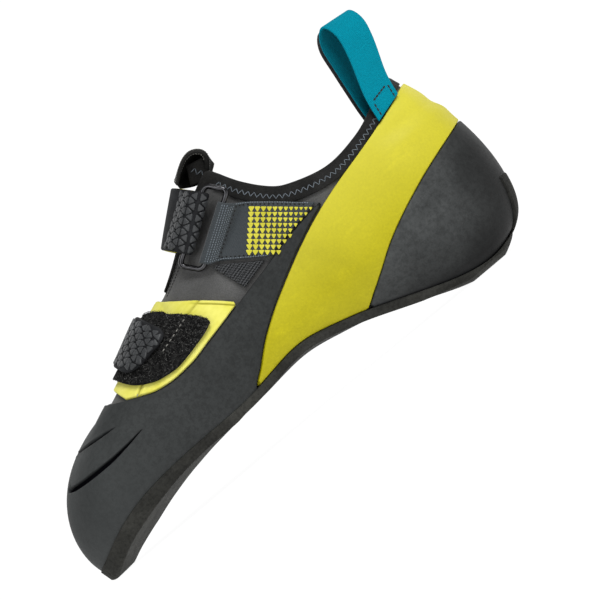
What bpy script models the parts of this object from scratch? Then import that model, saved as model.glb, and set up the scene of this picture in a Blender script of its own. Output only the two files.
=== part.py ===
"""Right climbing shoe with two opposing straps, standing empty and unbent on toe and heel.

Lengths are millimetres until a mesh is made. A station s runs from the toe tip (0) to the back of
the heel (252), y is negative on the inner side of the foot and z is the height over the floor. The
upper is a surface over two parameters: phi goes round the foot (0 at the toe tip, negative on the
inner side, plus or minus pi at the heel), and t climbs each column from the sole edge (0) to the
ridge, throat or collar (1). Every overlay is cut from it.
"""

import math

import bmesh
import bpy
import numpy as np

# Driving sizes
MM = 0.001
MIDDLE_S = 125.98
MIDDLE_Y = 0.46
TOE_START = 3.7
COLUMN_COUNT = 35
HEEL_END = 236.5
FIT = 0.3
SEAT = 0.4
WALL = 2.0
RAND = 1.8
BAND = 1.6
PANEL = 1.2
PATCH = 1.4
STRAP = 2.0
TAB_LAYER = 1.0
SOLE_RIM = 2.7
SOLE_BEVEL = 1.0
SIDE_RAKE = 0.4
FLAT_DEPTH = 0.9
FLAT_FADE = 6.0
TOE_DISH = 2.2
DISH = 0.6
INSOLE = 2.5
TONGUE = 2.4
TONGUE_DROP = 5.2
FLAP_CROWN = 2.4
STRIP = 1.0
STRIP_TOP = 28.6
BAND_TIP = 105.7
CUP_TIP = 165.2
WEBBING = 1.5
WIRE = 1.2

COLOURS = {
    "sole_rubber": (0.045, 0.042, 0.038),
    "rand_rubber": (0.050, 0.054, 0.055),
    "band_rubber": (0.680, 0.610, 0.020),
    "upper_textile": (0.090, 0.080, 0.080),
    "panel_suede": (0.840, 0.780, 0.130),
    "loop_pile": (0.010, 0.010, 0.011),
    "strap_moulded": (0.018, 0.019, 0.021),
    "tab_textile": (0.065, 0.075, 0.090),
    "binding_textile": (0.018, 0.017, 0.014),
    "loop_webbing": (0.000, 0.350, 0.450),
    "ring_steel": (0.060, 0.060, 0.065),
    "insole_textile": (0.200, 0.190, 0.180),
}


def table(names, rows):
    """The columns of a short table, each an array under its name."""
    return dict(zip(names.split(), np.array(rows, float).T))


# Lower edge of the upper, where it meets the sole. Tilt is how far the outer side lies below the inner.
EDGE = table(
    "s inner outer rise tilt",
    [
        (3.7, 14.0, -14.0, 7.1, 0.0),
        (10, 28.0, 1.0, 10.4, 3.0),
        (20, 36.5, 14.0, 15.4, 4.2),
        (30, 40.0, 24.0, 19.2, 5.0),
        (45, 41.5, 34.5, 22.3, 4.2),
        (60, 41.0, 40.5, 23.6, 3.4),
        (75, 39.0, 43.0, 24.1, 2.2),
        (90, 35.5, 43.0, 24.3, 1.0),
        (105, 30.5, 41.0, 25.5, 1.2),
        (120, 25.5, 38.0, 27.9, 1.8),
        (132, 22.5, 35.0, 28.8, 2.2),
        (150, 20.5, 31.5, 25.5, 1.8),
        (165, 21.0, 29.5, 21.2, 0.8),
        (180, 23.0, 28.5, 15.8, 0.4),
        (195, 25.0, 28.0, 10.2, 0.1),
        (208, 25.5, 27.5, 6.2, 0.0),
        (220, 23.0, 24.0, 4.9, 0.0),
        (231, 14.0, 14.5, 7.2, 0.0),
        (236.5, 0.0, 0.0, 10.5, 0.0),
    ],
)

# Upper edge of each column: forefoot ridge, then throat, then collar
TOP = table(
    "s top_s centre half_gap height",
    [
        (3.7, 46.0, -13.5, 0.0, 57.2),
        (10, 46.8, -13.4, 0.0, 57.5),
        (20, 50.0, -13.0, 0.0, 58.7),
        (30, 54.5, -12.3, 0.0, 61.0),
        (45, 62.0, -11.0, 0.0, 64.6),
        (60, 71.0, -9.2, 0.0, 68.9),
        (75, 82.0, -7.2, 0.0, 74.7),
        (90, 94.0, -5.3, 0.0, 80.2),
        (94, 97.3, -4.9, 0.0, 81.3),
        (98, 100.7, -4.5, 3.2, 82.6),
        (105, 106.5, -4.0, 6.0, 85.9),
        (120, 120.0, -2.4, 9.0, 95.0),
        (132, 131.0, -1.2, 11.0, 102.3),
        (147, 144.0, -0.4, 14.5, 109.4),
        (152, 148.5, -0.2, 16.0, 110.9),
        (156, 150.4, 0.0, 17.6, 107.8),
        (160, 152.9, 0.0, 19.4, 103.2),
        (167, 158.3, 0.0, 22.0, 95.0),
        (178, 170.3, 0.0, 25.0, 84.0),
        (195, 193.0, 0.0, 27.2, 78.1),
        (208, 210.0, 0.4, 25.8, 80.7),
        (220, 225.0, 0.3, 19.3, 86.6),
        (231, 233.9, 0.0, 10.0, 91.0),
        (236.5, 236.7, 0.0, 0.0, 92.0),
    ],
)

# Handles of each column's curve: out and up from the sole edge, then reach, out and down at the upper edge
HANDLES = "s low_out low_up reach high_out drop"
INNER = table(
    HANDLES,
    [
        (3.7, 5.2, 14.7, 0.92, 0.0, 7.4),
        (10, 5.0, 17.0, 0.90, 0.0, 7.0),
        (20, 5.5, 19.0, 0.87, 0.0, 6.0),
        (30, 6.0, 20.0, 0.83, 0.0, 5.0),
        (45, 6.0, 20.0, 0.77, 0.0, 3.5),
        (60, 6.0, 19.0, 0.73, 0.0, 2.5),
        (75, 6.0, 20.0, 0.74, 0.0, 2.5),
        (90, 7.0, 23.0, 0.78, 0.0, 3.5),
        (105, 9.0, 24.0, 0.84, 1.5, 6.0),
        (120, 11.0, 24.0, 0.85, 3.5, 10.0),
        (132, 12.0, 25.0, 0.70, 5.0, 13.0),
        (150, 13.0, 26.0, 0.30, 6.5, 17.0),
        (165, 13.0, 25.0, 0.00, 6.5, 19.0),
        (180, 12.0, 22.0, 0.00, 5.0, 19.0),
        (195, 11.0, 20.0, 0.00, 4.0, 18.0),
        (208, 11.0, 17.0, 0.00, 6.0, 20.0),
        (220, 13.0, 12.0, 0.00, 9.0, 25.0),
        (231, 16.0, 8.0, 0.00, 13.6, 30.0),
        (236.5, 17.5, 5.0, 0.00, 16.6, 31.0),
    ],
)
OUTER = table(
    HANDLES,
    [
        (3.7, 5.2, 14.7, 0.92, 0.0, 7.4),
        (10, 5.0, 16.0, 0.89, 0.0, 8.0),
        (20, 5.0, 17.0, 0.83, 0.0, 9.0),
        (30, 5.0, 17.0, 0.76, 0.0, 9.0),
        (45, 5.0, 16.0, 0.68, 0.0, 8.0),
        (60, 5.0, 16.0, 0.62, 0.0, 7.0),
        (75, 5.0, 17.0, 0.62, 0.0, 7.0),
        (90, 5.0, 19.0, 0.66, 0.0, 8.0),
        (105, 5.5, 21.0, 0.74, 1.0, 10.0),
        (120, 6.0, 22.0, 0.78, 3.0, 12.0),
        (132, 7.0, 23.0, 0.65, 5.0, 14.0),
        (150, 8.0, 24.0, 0.30, 6.5, 17.0),
        (165, 8.5, 24.0, 0.00, 6.5, 19.0),
        (180, 9.0, 21.0, 0.00, 5.0, 19.0),
        (195, 9.0, 19.0, 0.00, 4.5, 18.0),
        (208, 10.0, 16.0, 0.00, 6.0, 20.0),
        (220, 13.0, 12.0, 0.00, 9.0, 25.0),
        (231, 16.0, 8.0, 0.00, 13.6, 30.0),
        (236.5, 17.5, 5.0, 0.00, 16.6, 31.0),
    ],
)

# Thickness of the sole at its rim, and how far its underside is set in from the rim
SOLE = table(
    "s thickness inset",
    [
        (0, 6.4, 3.6), (4.5, 6.4, 3.4), (12, 7.1, 2.4), (30, 7.2, 1.2), (45, 6.3, 1.0), (60, 4.9, 1.0),
        (75, 4.3, 1.0), (90, 4.3, 1.0), (96, 3.8, 1.0), (222, 3.3, 1.0), (241, 2.4, 1.6),
    ],
)

# Side-view edges of the overlays, as height over station
RAND_TOP = table(
    "s h",
    [
        (48, 62), (51, 60), (54, 58.6), (58, 56.8), (66, 53.4), (72, 51.3), (81, 50.3), (92, 51.2),
        (103, 53.8), (114, 56.4), (123, 58.7), (140, 62.8), (160, 67.4), (179, 70.2), (190, 71.6),
    ],
)
BAND_TOP = table(
    "s h",
    [
        (105, 24), (106, 25.8), (112, 30.7), (121, 38.4), (132, 45.8), (140, 50.3), (150, 55.5),
        (160, 60.3), (170, 64.6), (180, 68.2), (191, 71.5), (210, 76.4), (230, 82.4), (240, 85.6),
        (252, 86.5),
    ],
)
BAND_LOW = table(
    "s h",
    [
        (165, 20.8), (170, 23.8), (180, 30.0), (191, 36.9), (200, 41.4), (210, 45.7), (220, 49.6),
        (230, 52.9), (240, 56), (252, 59.8),
    ],
)
PANEL_REAR = table(
    "s h",
    [(93.4, 90), (94, 82), (96, 81), (104, 75.2), (110, 70.6), (117, 64.8), (124, 58.2)],
)
PANEL_FRONT = table("s h", [(50, 90), (55.5, 68), (57.2, 62), (58.4, 58.6), (59.6, 55), (62, 46)])
PATCH_LOW = table(
    "s h",
    [
        (60, 68), (62, 62.6), (66, 58), (70, 55.6), (76, 53.4), (84, 52.7), (92, 54), (103, 56.9),
        (109, 59.6),
    ],
)
PATCH_REAR = table("s h", [(88, 90), (88.5, 79), (92, 77), (101, 69.6), (106, 64.4), (109, 59.8)])
BINDING_DEPTH = table(
    "s depth puff",
    [
        (98, 3.2, 0.7), (144, 3.3, 0.7), (150, 3.4, 0.8), (156, 3.6, 1.0), (164, 4.7, 1.0),
        (180, 5.6, 1.0), (195, 4.6, 1.0), (208, 3.2, 1.0), (222, 4.2, 1.0), (237, 4.4, 1.0),
    ],
)

# Four side-view corners of the ring tab and three of the anchor webbing, on the inner side
TAB_CORNERS = table("s h", [(122.0, 82.0), (144.8, 98.0), (176.6, 70.9), (146.6, 65.8)])
ANCHOR_CORNERS = table("s h", [(123.5, 79.3), (129.6, 61.9), (144.0, 65.6)])

# Centre line of the near pull loop, from its outer foot over the top and down inside
PULL_LOOP = table(
    "s y h lean turn",
    [
        (228.2, -22.0, 82.9, 0.25, 32), (228.8, -21.9, 88, 0.22, 32), (230.3, -21.5, 95, 0.15, 32),
        (233.8, -20.8, 105, 0.08, 32), (236.8, -19.6, 115, 0.0, 32), (237.4, -18.0, 122.5, -0.04, 32),
        (235.0, -15.2, 127.2, -0.06, 32), (231.4, -12.8, 124.5, -0.04, 32), (228.6, -11.2, 115, 0.0, 32),
        (227.2, -10.4, 105, 0.05, 34), (225.9, -10.1, 97, 0.1, 38), (224.7, -10.2, 90, 0.12, 43),
        (224.3, -10.3, 86, 0.12, 45),
    ],
)
LOOP_WIDTH = 17.0
LOOP_WEB = 1.5

# Upper end of the tongue, a curled flap: side-view line, reach to both sides and droop of its outer side
FLAP = table(
    "s h inner outer droop",
    [
        (146.9, 111.3, 9.0, 9.0, 0), (150.8, 116.0, 12.0, 10.5, 1.5), (152.6, 120.4, 15.0, 11.0, 5.0),
        (149.2, 123.9, 15.5, 11.0, 10.0), (142.8, 122.4, 15.5, 11.5, 9.8), (136.8, 117.7, 14.0, 12.0, 0.4),
    ],
)


def fair(xs, ys):
    """Natural cubic curve through a table's rows, as a function."""
    count = len(xs)
    step = np.diff(xs)
    matrix = np.eye(count)
    bend = np.zeros(count)
    for i in range(1, count - 1):
        matrix[i, i - 1 : i + 2] = step[i - 1], 2 * (step[i - 1] + step[i]), step[i]
        bend[i] = 6 * ((ys[i + 1] - ys[i]) / step[i] - (ys[i] - ys[i - 1]) / step[i - 1])
    second = np.linalg.solve(matrix, bend)

    def at(x):
        i = np.clip(np.searchsorted(xs, x) - 1, 0, count - 2)
        a = (xs[i + 1] - x) / step[i]
        b = 1 - a
        swell = (a**3 - a) * second[i] + (b**3 - b) * second[i + 1]
        return a * ys[i] + b * ys[i + 1] + swell * step[i] ** 2 / 6

    return at


def steady(xs, ys):
    """Cubic curve through a table's rows that never overshoots them, as a function."""
    step = np.diff(xs)
    rate = np.diff(ys) / step
    slope = np.concatenate([rate[:1], np.zeros(len(xs) - 2), rate[-1:]])
    same = rate[:-1] * rate[1:] > 0
    slope[1:-1][same] = 2 * rate[:-1][same] * rate[1:][same] / (rate[:-1] + rate[1:])[same]

    def at(x):
        i = np.clip(np.searchsorted(xs, x) - 1, 0, len(xs) - 2)
        u = np.clip((x - xs[i]) / step[i], 0, 1)
        ends = ys[i] * (1 + 2 * u) * (1 - u) ** 2 + ys[i + 1] * u * u * (3 - 2 * u)
        return ends + step[i] * (slope[i] * u * (1 - u) ** 2 + slope[i + 1] * u * u * (u - 1))

    return at


def edge_curve(rows):
    """Side-view edge as a function of station."""
    return steady(rows["s"], rows["h"])


def turn_of(s):
    """Angle round the foot at a station, closest together at the toe and heel."""
    return np.arccos(np.clip(1 - 2 * (np.asarray(s, float) - TOE_START) / (HEEL_END - TOE_START), -1, 1))


def station_of(turn):
    return TOE_START + (HEEL_END - TOE_START) * (1 - np.cos(turn)) / 2


def curves(rows, kind):
    turn = turn_of(rows["s"])
    return {name: kind(turn, values) for name, values in rows.items() if name != "s"}


EDGE_AT = curves(EDGE, fair)
TOP_AT = curves(TOP, steady)
INNER_AT = curves(INNER, steady)
OUTER_AT = curves(OUTER, steady)


def wrap(phi):
    return (np.asarray(phi, float) + math.pi) % (2 * math.pi) - math.pi


def sole_line(phi):
    """Points of the upper's lower edge."""
    phi = wrap(phi)
    turn = np.abs(phi)
    inner = phi < 0
    y = np.where(inner, -EDGE_AT["inner"](turn), EDGE_AT["outer"](turn))
    z = EDGE_AT["rise"](turn) - np.where(inner, 0, EDGE_AT["tilt"](turn))
    return np.stack([station_of(turn), y, z], -1)


def outward(phi):
    """Level direction out of the foot, square to the sole line."""
    along = sole_line(phi + 0.002) - sole_line(phi - 0.002)
    out = np.stack([-along[..., 1], along[..., 0], np.zeros(along.shape[:-1])], -1)
    return out / np.linalg.norm(out, axis=-1, keepdims=True)


def top_line(phi):
    """Points of the ridge, throat and collar."""
    phi = wrap(phi)
    turn = np.abs(phi)
    side = np.where(phi < 0, -1, 1)
    y = TOP_AT["centre"](turn) + side * np.maximum(TOP_AT["half_gap"](turn), 0)
    return np.stack([TOP_AT["top_s"](turn), y, TOP_AT["height"](turn)], -1)


def upper_at(phi, t):
    """Outer surface of the upper."""
    phi, t = np.broadcast_arrays(np.asarray(phi, float), np.asarray(t, float))
    turn = np.abs(wrap(phi))
    inner = wrap(phi) < 0
    shape = {}
    for name in INNER_AT:
        shape[name] = np.where(inner, INNER_AT[name](turn), OUTER_AT[name](turn))[..., None]
    foot = sole_line(phi)
    top = top_line(phi)
    out = outward(phi)
    up = np.array([0.0, 0.0, 1.0])
    level = (foot - top) * (1, 1, 0)
    low = foot + out * shape["low_out"] + up * shape["low_up"]
    high = top + level * shape["reach"] + out * shape["high_out"] - up * shape["drop"]
    t = t[..., None]
    return foot * (1 - t) ** 3 + 3 * low * t * (1 - t) ** 2 + 3 * high * t * t * (1 - t) + top * t**3


def normal_at(phi, t):
    """Outward unit normal of the upper."""
    phi, t = np.broadcast_arrays(np.asarray(phi, float), np.minimum(t, 0.98))
    climb = upper_at(phi, t + 0.003) - upper_at(phi, t - 0.003)
    along = upper_at(phi + 0.003, t) - upper_at(phi - 0.003, t)
    out = np.cross(climb, along)
    return out / np.linalg.norm(out, axis=-1, keepdims=True)


def crossing(phi, edge, lift=0.0):
    """Parameter t where each column climbs through a side-view edge: 0 or 1 where it never does."""
    phi = np.asarray(phi, float)
    low = np.zeros(phi.shape)
    high = np.ones(phi.shape)
    for _ in range(30):
        middle = (low + high) / 2
        point = upper_at(phi, middle)
        above = point[..., 2] > edge(point[..., 0]) + lift
        high = np.where(above, middle, high)
        low = np.where(above, low, middle)
    return (low + high) / 2


def settle(target, phi, t, side_view=False):
    """Parameters of the surface point nearest a target, or with its station and height."""
    keep = np.array([1.0, 0.0, 1.0]) if side_view else np.ones(3)
    for _ in range(12):
        miss = (target - upper_at(phi, t)) * keep
        by_phi = (upper_at(phi + 0.002, t) - upper_at(phi - 0.002, t)) / 0.004 * keep
        by_t = (upper_at(phi, t + 0.002) - upper_at(phi, t - 0.002)) / 0.004 * keep
        a = (by_phi * by_phi).sum(-1)
        b = (by_phi * by_t).sum(-1)
        c = (by_t * by_t).sum(-1)
        p = (by_phi * miss).sum(-1)
        q = (by_t * miss).sum(-1)
        share = np.maximum(a * c - b * b, 1e-6)
        phi = phi + np.clip((c * p - b * q) / share, -0.1, 0.1)
        t = np.clip(t + np.clip((a * q - b * p) / share, -0.1, 0.1), 0, 1.02)
    return phi, t


def inner_side(s, h):
    """Surface parameters of side-view points on the inner side."""
    s, h = np.broadcast_arrays(np.asarray(s, float), np.asarray(h, float))
    target = np.stack([s, np.zeros(s.shape), h], -1)
    return settle(target, -turn_of(s), np.clip((h - 25) / 75, 0.1, 0.9), side_view=True)


def grid_normals(points):
    """Unit normals of a grid of points from its neighbours."""
    down = np.gradient(points, axis=0)
    across = np.gradient(points, axis=1)
    out = np.cross(across, down)
    return out / np.maximum(np.linalg.norm(out, axis=-1, keepdims=True), 1e-9)


def weld(grids):
    """Joins grids of points and normals into one sheet: points, mean normals and faces."""
    index = {}
    points = []
    normals = []
    faces = []
    for grid, out in grids:
        number = np.zeros(grid.shape[:2], int)
        for key in np.ndindex(*grid.shape[:2]):
            place = tuple(np.round(grid[key], 3) + 0.0)
            if place not in index:
                index[place] = len(points)
                points.append(grid[key])
                normals.append(np.zeros(3))
            number[key] = index[place]
            normals[number[key]] += out[key]
        for i in range(grid.shape[0] - 1):
            for j in range(grid.shape[1] - 1):
                corners = [number[i, j], number[i, j + 1], number[i + 1, j + 1], number[i + 1, j]]
                face = list(dict.fromkeys(corners))
                if len(face) > 2:
                    faces.append(face)
    normals = np.array(normals)
    return np.array(points), normals / np.linalg.norm(normals, axis=1, keepdims=True), faces


def thicken(sheet, low, high):
    """Closed shell between two offsets of a sheet."""
    points, normals, faces = sheet
    count = len(points)
    shell = np.concatenate([points + normals * high, points + normals * low])
    edges = {(a, b) for face in faces for a, b in zip(face, face[1:] + face[:1])}
    closed = [list(face) for face in faces]
    closed += [[corner + count for corner in reversed(face)] for face in faces]
    closed += [[b, a, a + count, b + count] for a, b in edges if (b, a) not in edges]
    return shell, closed


def ring_shell(rings, closed_path):
    """Closed skin through rings of points that correspond."""
    count, sides = rings.shape[:2]
    points = rings.reshape(-1, 3)
    faces = []
    for i in range(count if closed_path else count - 1):
        for j in range(sides):
            after = (i + 1) % count
            side = (j + 1) % sides
            faces.append([i * sides + j, i * sides + side, after * sides + side, after * sides + j])
    if not closed_path:
        faces.append(list(range(sides))[::-1])
        faces.append([(count - 1) * sides + j for j in range(sides)])
    return points, faces


def add_part(name, material, shell):
    """Makes one named object from points in millimetres and faces."""
    points, faces = shell
    mesh = bpy.data.meshes.new(name)
    places = (np.asarray(points) - (MIDDLE_S, MIDDLE_Y, 0.0)) * MM
    mesh.from_pydata(places.tolist(), [], faces)
    shape = bmesh.new()
    shape.from_mesh(mesh)
    bmesh.ops.remove_doubles(shape, verts=shape.verts, dist=0.00001)
    bmesh.ops.triangulate(shape, faces=shape.faces)
    bmesh.ops.recalc_face_normals(shape, faces=shape.faces)
    if shape.calc_volume(signed=True) < 0:
        bmesh.ops.reverse_faces(shape, faces=shape.faces)
    shape.to_mesh(mesh)
    shape.free()
    mesh.materials.append(MATERIALS[material])
    part = bpy.data.objects.new(name, mesh)
    bpy.context.scene.collection.objects.link(part)
    return part


def add_skin(name, material, patches, low, high):
    """Overlay over grids of surface parameters, between two heights over the upper."""
    grids = [(upper_at(phi, t), normal_at(phi, t)) for phi, t in patches]
    return add_part(name, material, thicken(weld(grids), low, high))


def between(phi, low, high, rows, crowd=1.0):
    """Grid of surface parameters with the columns phi, between two limits of t."""
    share = np.linspace(0, 1, rows) ** crowd
    t = low[:, None] + (high - low)[:, None] * share
    return np.broadcast_to(phi[:, None], t.shape), t


COLUMNS = np.linspace(0, math.pi, COLUMN_COUNT)


def columns(first, last, *extra):
    """Column angles between two stations: the upper's own there, one at each end and extra ones."""
    start, end = float(turn_of(first)), float(turn_of(last))
    shared = COLUMNS[(COLUMNS > start + 0.015) & (COLUMNS < end - 0.015)]
    return np.sort(np.concatenate([[start], shared, turn_of(extra), [end]]))


def round_toe(turn):
    """Columns from one station on the inner side round the toe to the same station on the outer side."""
    return np.concatenate([-turn[::-1], turn[1:]])


def round_heel(turn):
    """Columns from one station on the inner side round the heel to the same station on the outer side."""
    return np.concatenate([-turn, -2 * math.pi + turn[-2::-1]])


def add_upper():
    t = np.linspace(0, 1, 10)
    grid = np.broadcast_arrays(round_toe(COLUMNS)[:, None], t[None, :])
    add_skin("upper", "upper_textile", [grid], -WALL, 0.0)


def sole_edge(phi):
    """Upper rim of the sole, under the lower edge of the rand."""
    foot = sole_line(phi)
    rim = foot + outward(phi) * SOLE_RIM
    rim[..., 2] = foot[..., 2] + normal_at(phi, np.zeros(np.shape(phi)))[..., 2] * (SEAT + RAND) - FIT
    return rim


def sole_rows(angle):
    """One line of points across the sole's dished upper face, and the two directions out."""
    inner, outer = sole_edge(np.array([-angle, angle]))
    out = outward(np.array([-angle, angle]))
    inset = min(0.3, (SOLE_RIM + WALL + 3.4) / max(np.linalg.norm(outer - inner), 1.0))
    share = np.array([0, inset, 0.3, 0.5, 0.7, 1 - inset, 1])[:, None]
    top = inner + (outer - inner) * share
    dish = np.interp(inner[0], (20, 60), (TOE_DISH, DISH))
    top[1:-1, 2] -= dish
    return top, out


def stand(height):
    """Underside heights with the lowest parts worn down to flat spots on the floor."""
    return np.maximum(height - FLAT_DEPTH * np.clip(1 - height / FLAT_FADE, 0, 1), 0)


def add_outsole():
    share = np.linspace(0, 1, 5)[:, None]
    thickness = steady(SOLE["s"], SOLE["thickness"])
    inset = steady(SOLE["s"], SOLE["inset"])
    rings = []
    for angle in COLUMNS:
        top, out = sole_rows(angle)
        inner, outer = top[0], top[-1]
        pull = out * inset(inner[0])
        thick = np.array([0, 0, thickness(inner[0])])
        ground = np.array([inner - pull[0], outer - pull[1]]) - thick
        base = ground[0] + (ground[1] - ground[0]) * share
        base[:, 2] = stand(base[:, 2])
        sides = np.array([inner, outer]) - pull * SIDE_RAKE
        sides[:, 2] = base[[0, -1], 2] + SOLE_BEVEL
        rings.append(np.concatenate([top, sides[1:], base[::-1], sides[:1]]))
    add_part("outsole", "sole_rubber", ring_shell(np.array(rings), False))


def add_insole():
    rings = []
    for angle in columns(17, 228):
        base = sole_rows(angle)[0][1:-1] + (0, 0, FIT)
        rings.append(np.concatenate([base, base[::-1] + (0, 0, INSOLE)]))
    add_part("insole", "insole_textile", ring_shell(np.array(rings), False))


def add_rubber():
    """Toe rand, tension band, heel cup and heel strip, each cut from the upper between two edges."""
    rand_top = edge_curve(RAND_TOP)
    band_top = edge_curve(BAND_TOP)
    band_low = edge_curve(BAND_LOW)
    phi = round_toe(columns(TOE_START, 176, BAND_TIP))
    low = np.where(np.abs(phi) < turn_of(BAND_TIP) + 0.001, 0, crossing(phi, band_top, 3 * FIT))
    ridge = np.abs(phi) <= turn_of(22)
    high = np.where(ridge, 1, crossing(phi, rand_top, -FIT))
    add_skin("toe_rand", "rand_rubber", [between(phi, low, high, 8)], SEAT + 0.05, SEAT + RAND)

    phi = round_heel(columns(BAND_TIP + 2.6, HEEL_END, CUP_TIP))
    rear = np.abs(wrap(phi)) > turn_of(CUP_TIP) + 0.001
    low = np.where(rear, crossing(phi, band_low), 0)
    patch = between(phi, low, crossing(phi, band_top), 6)
    add_skin("tension_band", "band_rubber", [patch], SEAT, SEAT + BAND)

    phi = round_heel(columns(CUP_TIP + 2, HEEL_END))
    high = crossing(phi, band_low, -2 * FIT)
    add_skin("heel_cup", "rand_rubber", [between(phi, 0 * high, high, 6, 1.3)], SEAT, SEAT + RAND)

    phi = round_heel(columns(234.2, HEEL_END))
    high = crossing(phi, steady(np.array([200.0, 260.0]), np.array([STRIP_TOP, STRIP_TOP])))
    low = np.full(phi.shape, 0.07)
    base = SEAT + RAND + FIT
    add_skin("heel_strip", "sole_rubber", [between(phi, low, high, 6)], base, base + STRIP)


def add_forefoot():
    """Suede panel over the forefoot and the loop patch on its inner side."""
    rand_top = edge_curve(RAND_TOP)
    panel_rear = edge_curve(PANEL_REAR)
    turn = columns(39.5, 120)
    patches = []
    for side in (-1, 1):
        phi = side * turn
        high = np.where(turn < turn_of(90.5), 1, crossing(phi, panel_rear))
        low = np.maximum(crossing(phi, rand_top, FIT), crossing(phi, edge_curve(PANEL_FRONT)))
        patch = between(phi, low, high, 7)
        patches.append(patch if side > 0 else (patch[0][::-1], patch[1][::-1]))
    add_skin("forefoot_panel", "panel_suede", patches, SEAT + 0.65, SEAT + PANEL + 0.4)

    turn = columns(44, 106.5)
    phi = -turn[::-1]
    high = np.where(turn[::-1] < turn_of(81), 1, crossing(phi, edge_curve(PATCH_REAR)))
    patch = between(phi, crossing(phi, edge_curve(PATCH_LOW)), high, 7)
    base = SEAT + PANEL + 1.5
    add_skin("loop_patch", "loop_pile", [patch], base, base + PATCH)


def read_line(run, line, distance):
    """Plane point of a line at a distance along it."""
    return np.array([np.interp(distance, run, line[:, i]) for i in (0, 1)])


class Arch:
    """Taut line over the foot in planes square to a strap's width.

    Skew is how much further from the crown a ring's bar lies for each millimetre across the strap.
    """

    def __init__(self, s, h, slope, bulge, tilt, base, tab_lift, skew):
        self.origin = np.array([s, 0.0, h])
        self.along = np.array([math.cos(slope), 0.0, math.sin(slope)])
        self.up = np.array([-math.sin(slope), 0.0, math.cos(slope)])
        self.bulge = bulge
        self.tilt = tilt
        self.base = base
        self.bar_lift = base + STRAP + 2 * FIT + WIRE
        self.tab_lift = tab_lift
        self.skew = skew

    def section(self, shift):
        """Points (y, r) of the taut line in one plane, from the inner side to the outer, evenly spaced."""
        turn = np.linspace(float(turn_of(8)), float(turn_of(225)), 260)
        cut = []
        for side in (-1, 1):
            phi = side * turn
            low = np.full(turn.shape, 0.12)
            high = np.ones(turn.shape)

            def past(t):
                return (upper_at(phi, t) - self.origin) @ self.along > shift

            crosses = ~past(low) & past(high)
            for _ in range(26):
                middle = (low + high) / 2
                above = past(middle)
                high = np.where(above, middle, high)
                low = np.where(above, low, middle)
            point = (upper_at(phi, low) - self.origin)[crosses]
            cut.append(np.stack([point[:, 1], point @ self.up], -1))
        crown = (cut[0][cut[0][:, 1].argmax()] + cut[1][cut[1][:, 1].argmax()]) / 2
        crown[1] += self.bulge + self.tilt * shift
        cloud = np.concatenate(cut + [crown[None]])
        cloud = cloud[np.argsort(cloud[:, 0])]
        hull = []
        for point in cloud:
            while len(hull) > 1 and np.cross(hull[-1] - hull[-2], point - hull[-1]) >= 0:
                hull.pop()
            hull.append(point)
        hull = np.array(hull)
        run = np.concatenate([[0], np.cumsum(np.linalg.norm(np.diff(hull, axis=0), axis=1))])
        even = np.linspace(0, run[-1], 161)
        line = np.stack([np.interp(even, run, hull[:, i]) for i in (0, 1)], -1)
        for _ in range(12):
            line[1:-1] = (line[:-2] + 2 * line[1:-1] + line[2:]) / 4
        return line

    def offset_line(self, shift, lift):
        """The taut line moved out by a lift, with the distance of each point from the crown."""
        line = self.section(shift)
        along = np.gradient(line, axis=0)
        out = np.stack([-along[:, 1], along[:, 0]], -1)
        out /= np.linalg.norm(out, axis=1, keepdims=True)
        step = np.linalg.norm(np.diff(line, axis=0), axis=1)
        run = np.concatenate([[0], np.cumsum(step)])
        return run - run[line[:, 1].argmax()], line + out * lift, out

    def at(self, shift, distance, lift):
        """Point (y, r) at a distance from the crown, and the direction out."""
        run, line, out = self.offset_line(shift, lift)
        return read_line(run, line, distance), read_line(run, out, distance)

    def place(self, shift, y, r):
        """Space point of plane coordinates."""
        return self.origin + self.along * shift + self.up * r + np.array([0.0, y, 0.0])


def strap_path(arch, shift, bar, back, front, low, high):
    """Centre line in one plane: under layer to the bar, round it, then back over to the tip.

    The bar lies at a signed distance from the crown, as do back and front, the ends of both layers.
    """
    centre, out = arch.at(0.0, bar, arch.bar_lift)
    inward = np.array([out[1], -out[0]]) * -np.sign(bar)
    centre = centre - inward * arch.skew * shift
    bar = bar + np.sign(bar) * arch.skew * shift
    turn_radius = WIRE + 1.5 * FIT + STRAP / 2
    run_low, line_low, _ = arch.offset_line(shift, low)
    run_high, line_high, _ = arch.offset_line(shift, high)
    under_end = bar - np.sign(bar) * 4.5
    over_start = bar - np.sign(bar) * 7.0
    under = [read_line(run_low, line_low, d) for d in np.linspace(back, under_end, 10)]
    over = [read_line(run_high, line_high, d) for d in np.linspace(over_start, front, 11)]
    bend = []
    for angle in np.linspace(-90, 90, 7):
        swing = math.radians(angle)
        swept = out * math.sin(swing) - inward * math.cos(swing)
        bend.append(centre + swept * turn_radius)
    bend.append(centre + out * turn_radius + inward * 1.8)
    return np.array(under + bend + over)


def add_strap(name, arch, bar, back, front, low, high, width, tip, slant):
    """Strap folded round a ring bar, its slanted free end rounded over the length tip."""
    grid = []
    for part in np.linspace(-1, 1, 4):
        path = strap_path(arch, part * width / 2, bar, back, front + slant * part, low, high)
        grid.append([arch.place(part * width / 2, *point) for point in path])
    grid = np.array(grid).swapaxes(0, 1)
    run = np.concatenate([[0], np.cumsum(np.linalg.norm(np.diff(grid[:, 1], axis=0), axis=1))])
    left = np.clip((tip - (run[-1] - run)) / tip, 0, 0.985)
    narrow = (1 - left**3) ** (1 / 3)
    middle = grid.mean(axis=1, keepdims=True)
    grid = middle + (grid - middle) * narrow[:, None, None]
    normals = grid_normals(grid)
    add_part(name, "strap_moulded", thicken(weld([(grid, normals)]), -STRAP / 2, STRAP / 2))


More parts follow.
